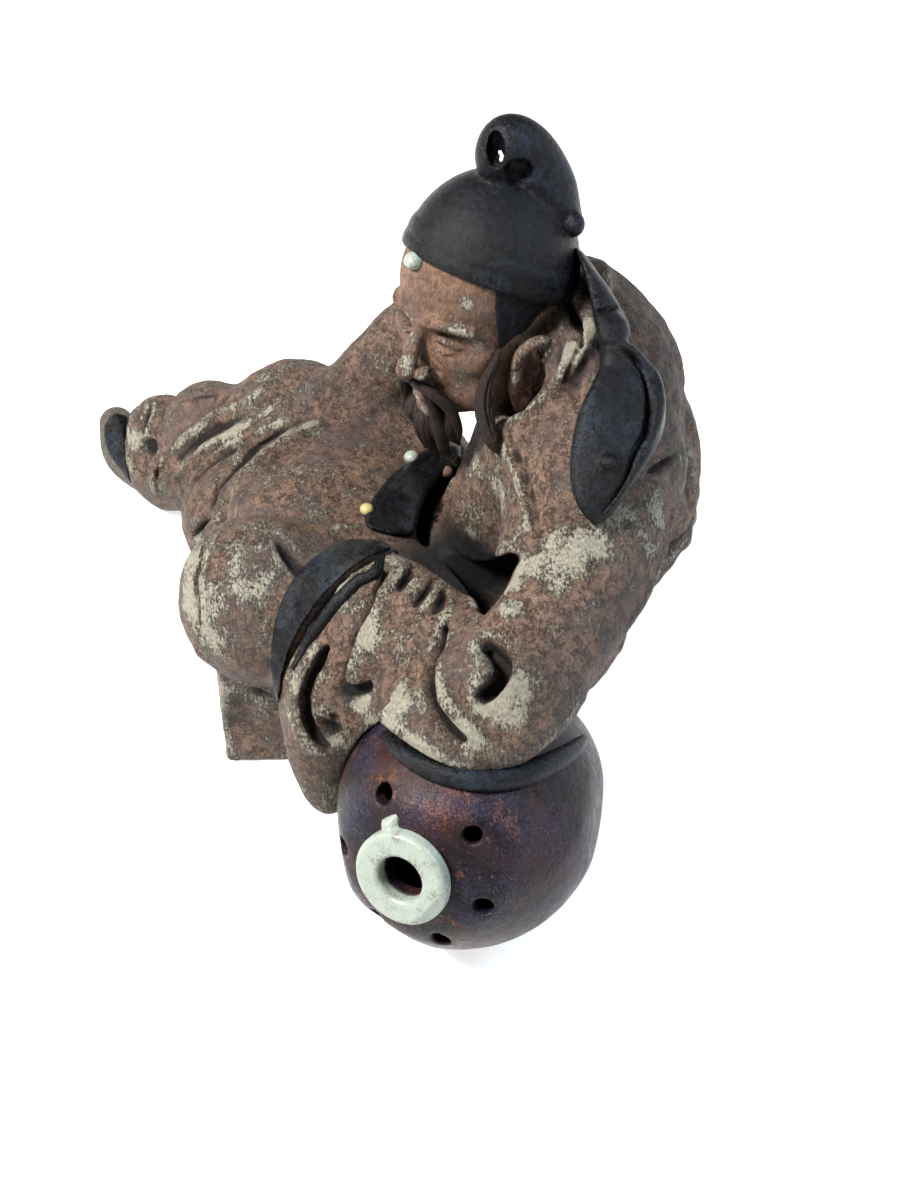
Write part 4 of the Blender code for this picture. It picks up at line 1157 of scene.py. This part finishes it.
def clay_paint(name, light, dark, violet, slip, slip_share):
    """Fired clay: mottled browns, pale slip left on ridges and in patches, painted shade in the hollows and
    in the dark patches.
    """
    paint = Paint(name)
    broad = paint.noise(0.018, 4)
    patches = paint.noise(0.009, 4, 0.65)
    middle = paint.noise(0.0030, 5, 0.8)
    fine = paint.noise(0.0009, 4, 0.85)
    brushed = paint.noise(0.0012, 5, 0.85, stretch=(1.0, 3.0, 0.5))
    speckle = paint.weighed((middle, 0.45), (fine, 0.55))
    colour = paint.mix(paint.ramp(speckle, 0.45, 0.55), dark, light)
    colour = paint.mix(paint.ramp(broad, 0.48, 0.62, 0.0, 0.45), colour, violet)
    colour = paint.mix(paint.ramp(brushed, 0.5, 0.36, 0.0, 0.8), colour, tuple(c * 0.3 for c in dark))
    relief = paint.value("relief")
    raised = paint.ramp(relief, 0.0, 0.4)
    amount = paint.weighed((raised, 0.3), (paint.value("slip"), 0.55), (paint.centred(patches), 1.3),
                           (paint.centred(brushed), 1.9), (paint.centred(fine), 1.3))
    slip_mask = paint.ramp(amount, slip_share, slip_share + 0.2, 0.0, 0.92)
    pale = paint.mix(paint.ramp(fine, 0.4, 0.62), tuple(c * 0.6 for c in slip), slip)
    colour = paint.mix(slip_mask, colour, pale)
    # Painted shade: the clay goes near black in hollows and creases.
    hollow_shade = paint.ramp(relief, -0.55, -0.06, 0.93, 0.0)
    colour = paint.mix(hollow_shade, colour, (0.006, 0.004, 0.004))
    # Painted shade: near black where the dark patches lie.
    colour = paint.mix(paint.sum(paint.value("dark"), 0.96, "MULTIPLY"), colour, (0.003, 0.004, 0.006))
    roughness = paint.ramp(fine, 0.3, 0.7, 0.42, 0.7)
    heights = [(middle, 0.0009), (brushed, 0.0007), (fine, 0.0004), (slip_mask, 0.0002)]
    return paint.finish(colour, roughness, heights, specular=0.35)


def glaze_paint(name, base, painted_sheen, warm, rough=0.24):
    """Blue-black glaze with brown thin places and a painted bluish sheen."""
    paint = Paint(name)
    broad = paint.noise(0.014, 4)
    middle = paint.noise(0.0022, 5, 0.7)
    fine = paint.noise(0.0006, 4, 0.8)
    colour = paint.mix(paint.ramp(broad, 0.52, 0.66), base, warm)
    speckle = paint.weighed((middle, 0.35), (fine, 0.3), (paint.noise(0.012, 3, 0.6), 0.35))
    # Painted sheen: bluish patches stand in for reflected light.
    colour = paint.mix(paint.ramp(speckle, 0.49, 0.61), colour, painted_sheen)
    roughness = paint.ramp(middle, 0.3, 0.7, rough - 0.08, rough + 0.14)
    return paint.finish(colour, roughness, [(middle, 0.0005), (fine, 0.0002)], specular=0.17)


def hair_paint():
    paint = Paint("dark hair glaze")
    strand = paint.noise(0.0006, 4, 0.7, stretch=(3.0, 3.0, 0.35))
    broad = paint.noise(0.006, 3)
    colour = paint.mix(paint.ramp(strand, 0.4, 0.7), (0.005, 0.004, 0.004), (0.050, 0.028, 0.018))
    colour = paint.mix(paint.ramp(broad, 0.5, 0.75, 0.0, 0.7), colour, (0.006, 0.007, 0.010))
    return paint.finish(colour, 0.4, [(strand, 0.0004)], specular=0.2)


def cream_paint(name, light, dirt):
    paint = Paint(name)
    fine = paint.noise(0.0007, 5, 0.7)
    broad = paint.noise(0.004, 4)
    amount = paint.weighed((fine, 0.5), (broad, 0.5))
    colour = paint.mix(paint.ramp(amount, 0.5, 0.66, 0.0, 0.8), light, dirt)
    roughness = paint.ramp(fine, 0.3, 0.7, 0.25, 0.45)
    return paint.finish(colour, roughness, [(broad, 0.0005), (fine, 0.00006)])


def jar_paint():
    paint = Paint("purple-brown jar glaze")
    broad = paint.noise(0.02, 4)
    middle = paint.noise(0.004, 5, 0.65)
    fine = paint.noise(0.0006, 4, 0.7)
    colour = paint.mix(paint.ramp(broad, 0.4, 0.62), (0.005, 0.003, 0.005), (0.026, 0.010, 0.009))
    warm_places = paint.ramp(paint.noise(0.014, 5, 0.7), 0.56, 0.66)
    amber = paint.sum(warm_places, paint.ramp(fine, 0.4, 0.6), "MULTIPLY")
    colour = paint.mix(amber, colour, (0.14, 0.05, 0.015))
    # Painted sheen: bluish haze patches stand in for reflected sky light.
    sheen_places = paint.ramp(paint.noise(0.018, 4), 0.45, 0.6)
    painted_sheen_haze = paint.sum(sheen_places, paint.ramp(fine, 0.42, 0.62), "MULTIPLY")
    colour = paint.mix(paint.sum(painted_sheen_haze, 0.5, "MULTIPLY"), colour, (0.040, 0.040, 0.085))
    flecks = paint.ramp(paint.noise(0.0012, 3, 0.7), 0.62, 0.72, 0.0, 0.6)
    colour = paint.mix(flecks, colour, (0.12, 0.08, 0.06))
    roughness = paint.ramp(middle, 0.3, 0.7, 0.2, 0.38)
    return paint.finish(colour, roughness, [(middle, 0.0006), (fine, 0.0002)], specular=0.18)


# Where the pale slip is left: picture point, radius in parts, strength

SLIP_PATCHES = (
    ((574, 560), 7, 0.9), ((560, 580), 5, 0.7), ((588, 545), 6, 0.8), ((530, 566), 5, 0.9),
    ((512, 582), 4, 0.9), ((552, 545), 5, 0.8), ((505, 712), 6, 0.9), ((486, 705), 4, 0.8),
    ((520, 690), 4, 0.8), ((474, 738), 5, 0.8), ((450, 728), 4, 0.7), ((395, 705), 5, 1.1),
    ((398, 690), 4, 1.0), ((360, 700), 4, 0.9), ((370, 640), 5, 0.7), ((400, 640), 6, 0.5),
    ((345, 600), 5, 0.6), ((430, 640), 5, 0.4), ((240, 560), 8, 0.5), ((210, 640), 8, 0.7),
    ((188, 600), 7, 0.9), ((190, 560), 6, 0.8), ((230, 690), 6, 0.5), ((300, 430), 8, 0.4),
    ((260, 480), 8, 0.4), ((132, 440), 4, 0.9), ((150, 440), 4, 0.8), ((500, 470), 7, 0.5),
    ((470, 520), 8, 0.4), ((520, 530), 5, 0.5), ((230, 440), 14, 0.36), ((285, 400), 14, 0.3),
    ((230, 590), 15, 0.42), ((500, 490), 12, 0.55), ((320, 480), 16, 0.35), ((260, 690), 10, 0.4),
    ((480, 460), 10, 0.36), ((575, 350), 4, 0.7), ((585, 330), 4, 0.7), ((620, 510), 5, 0.7),
    ((660, 520), 5, 0.6), ((650, 545), 5, 0.5), ((420, 750), 4, 0.5), ((333, 740), 3, 0.7),
)
FACE_PATCHES = (
    ((408, 365), 2.6, 1.0), ((405, 345), 2.6, 0.8), ((468, 305), 2.4, 0.9), ((480, 345), 3.0, 0.6),
    ((390, 345), 2.4, 0.8), ((460, 330), 3.0, 0.5), ((530, 390), 2.0, 0.6),
)


# Where shade is painted onto the clay, in hollows, under the sleeve and on the sides turned from the light:
# picture point or place in parts, radius in parts, strength

PAINTED_SHADE_PATCHES = (
    ((33, -6, 57), 19, 1.6), ((352, 692), 3.5, 1.0), ((331, 729), 3.2, 1.0), ((234, 700), 3.4, 0.8),
    ((232, 718), 3.0, 0.8), ((493, 662), 4.0, 1.0), ((675, 395), 26, 0.4), ((650, 330), 18, 0.35),
    ((350, 395), 18, 0.22), ((400, 400), 12, 0.3), ((335, 780), 12, 0.45), ((560, 690), 16, 0.2),
    ((630, 620), 16, 0.2), ((545, 680), 14, 0.3), ((310, 560), 8, 0.3),
)


def patches_of(clay, patches):
    """A function that gives how much slip, or how much painted shade, lies at points."""
    found = [(clay.cast([place]) if len(place) == 2 else np.array([place]), radius, strength)
             for place, radius, strength in patches]
    found = [(place[0], radius, strength) for place, radius, strength in found if len(place)]

    def amount(points):
        total = np.zeros(len(points))
        for middle, radius, strength in found:
            away = np.linalg.norm(points - middle, axis=1) / radius
            total = np.maximum(total, np.clip(strength * (1.3 - away), 0, 1))
        return total
    return amount


def bead(name, clay, pixel, radius, paint, flat=0.8, sink=0.3):
    """A small glazed boss set into the surface that this pixel shows."""
    middle = clay.spot(pixel)
    middle = middle - clay.outward(middle[None])[0] * radius * sink
    made = Clay(middle - radius - 1.5, middle + radius + 1.5, radius / 8)
    made.egg(middle, (radius, radius, radius * flat))
    return show(name, made, paint)


def camera():
    data = bpy.data.cameras.new("camera")
    data.sensor_width = 36.0
    data.lens = FOCAL / PICTURE[1] * data.sensor_width
    made = bpy.data.objects.new("camera", data)
    bpy.context.scene.collection.objects.link(made)
    made.location = Vector(CAMERA_AT * PART)
    made.rotation_mode = "QUATERNION"
    made.rotation_quaternion = Vector(AHEAD).to_track_quat("-Z", "Y")
    data.clip_start = 0.01
    bpy.context.scene.camera = made


def area_light(name, place, aim, size, power, colour):
    data = bpy.data.lights.new(name, "AREA")
    data.size = size
    data.energy = power
    data.color = colour
    made = bpy.data.objects.new(name, data)
    bpy.context.scene.collection.objects.link(made)
    made.location = place
    made.rotation_mode = "QUATERNION"
    made.rotation_quaternion = (Vector(aim) - Vector(place)).to_track_quat("-Z", "Y")


FLOOR_SIZE = 24              # metres
FLOOR_GLOW = 0.74
SKY = 0.22
LIGHTS = (
    ("soft box", (0.26, -0.56, 0.80), (0, 0, 0.06), 0.22, 25.0, (1.0, 0.98, 0.95)),
    ("window", (0.05, 0.80, 0.75), (0.02, 0, 0.08), 0.3, 9.0, (0.74, 0.87, 1.0)),
)


def studio():
    bpy.ops.mesh.primitive_plane_add(size=FLOOR_SIZE, location=(0, 0, -0.0002))
    floor = bpy.context.object
    floor.name = "floor"
    paint = Paint("pale floor")
    colour = paint.mix(paint.noise(0.2, 1), (0.50, 0.50, 0.50), (0.51, 0.51, 0.51))
    paint.shader.inputs["Emission Color"].default_value = (1, 1, 1, 1)
    paint.shader.inputs["Emission Strength"].default_value = FLOOR_GLOW
    floor.data.materials.append(paint.finish(colour, 0.9, [(paint.noise(0.05, 1), 0.00001)], specular=0.1))
    world = bpy.data.worlds.new("studio")
    bpy.context.scene.world = world
    world.use_nodes = True
    back = world.node_tree.nodes["Background"]
    back.inputs[0].default_value = (1, 1, 1, 1)
    back.inputs[1].default_value = SKY
    for light in LIGHTS:
        area_light(*light)
    bpy.context.scene.view_settings.view_transform = "Standard"


def main():
    camera()
    studio()
    robe_paint = clay_paint("robe clay", (0.245, 0.155, 0.106), (0.040, 0.022, 0.016), (0.105, 0.072, 0.078),
                            (0.39, 0.365, 0.285), 0.17)
    skin_paint = clay_paint("skin clay", (0.265, 0.155, 0.098), (0.115, 0.060, 0.038), (0.130, 0.088, 0.082),
                            (0.46, 0.42, 0.34), 0.2)
    sole_paint = clay_paint("sole clay", (0.20, 0.17, 0.13), (0.07, 0.06, 0.045), (0.12, 0.10, 0.09),
                            (0.36, 0.34, 0.28), 0.15)
    # The second colour of the glaze is a painted bluish sheen.
    glaze = glaze_paint("blue-black glaze", (0.003, 0.003, 0.004), (0.010, 0.015, 0.025),
                        (0.004, 0.003, 0.0025))
    cream = cream_paint("cream glaze", (0.25, 0.29, 0.25), (0.09, 0.08, 0.05))
    gold = cream_paint("yellow glaze", (0.36, 0.30, 0.12), (0.09, 0.06, 0.025))
    robe = sculpt_robe()
    # The dark values mark painted shade.
    robe_values = {"relief": relief_of(robe), "slip": patches_of(robe, SLIP_PATCHES),
                   "dark": patches_of(robe, PAINTED_SHADE_PATCHES)}
    piece = show("robe", robe, robe_paint, robe_values)
    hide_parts("sage")
    head = sculpt_head()
    head_values = {"relief": relief_of(head), "slip": patches_of(head, FACE_PATCHES)}
    show("head", head, skin_paint, head_values)
    show("cap", sculpt_cap(), glaze)
    show("temple_hair", temple_hair(head), glaze)
    show("beard", sculpt_hair(head, robe), hair_paint())
    show("ribbon", sculpt_leaf(), glaze)
    show("belt", sculpt_belt(robe), glaze)
    show("cuff_band", cuff_band(robe), glaze)
    show("cuff_roll", cuff_roll(robe), glaze)
    show("jar_roll", sculpt_roll(), glaze)
    shoe = sculpt_shoe()
    show("shoe", shoe, sole_paint)
    show("shoe_upper", shoe_upper(shoe), glaze)
    bead("cap_pearl", head, CAP_PEARL, 2.7, cream, sink=-0.2)
    bead("belt_pearl", robe, BELT_PEARL, 2.2, cream, sink=-0.6)
    bead("belt_bead", robe, BELT_BEAD, 2.0, gold, sink=-0.7)
    bead("belt_plate", robe, BELT_PLATE, 2.2, skin_paint, sink=-0.3)
    jar = show("jar", sculpt_jar(), jar_paint())
    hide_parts("wine_jar")
    show("jar_ring", sculpt_ring(), cream)


main()
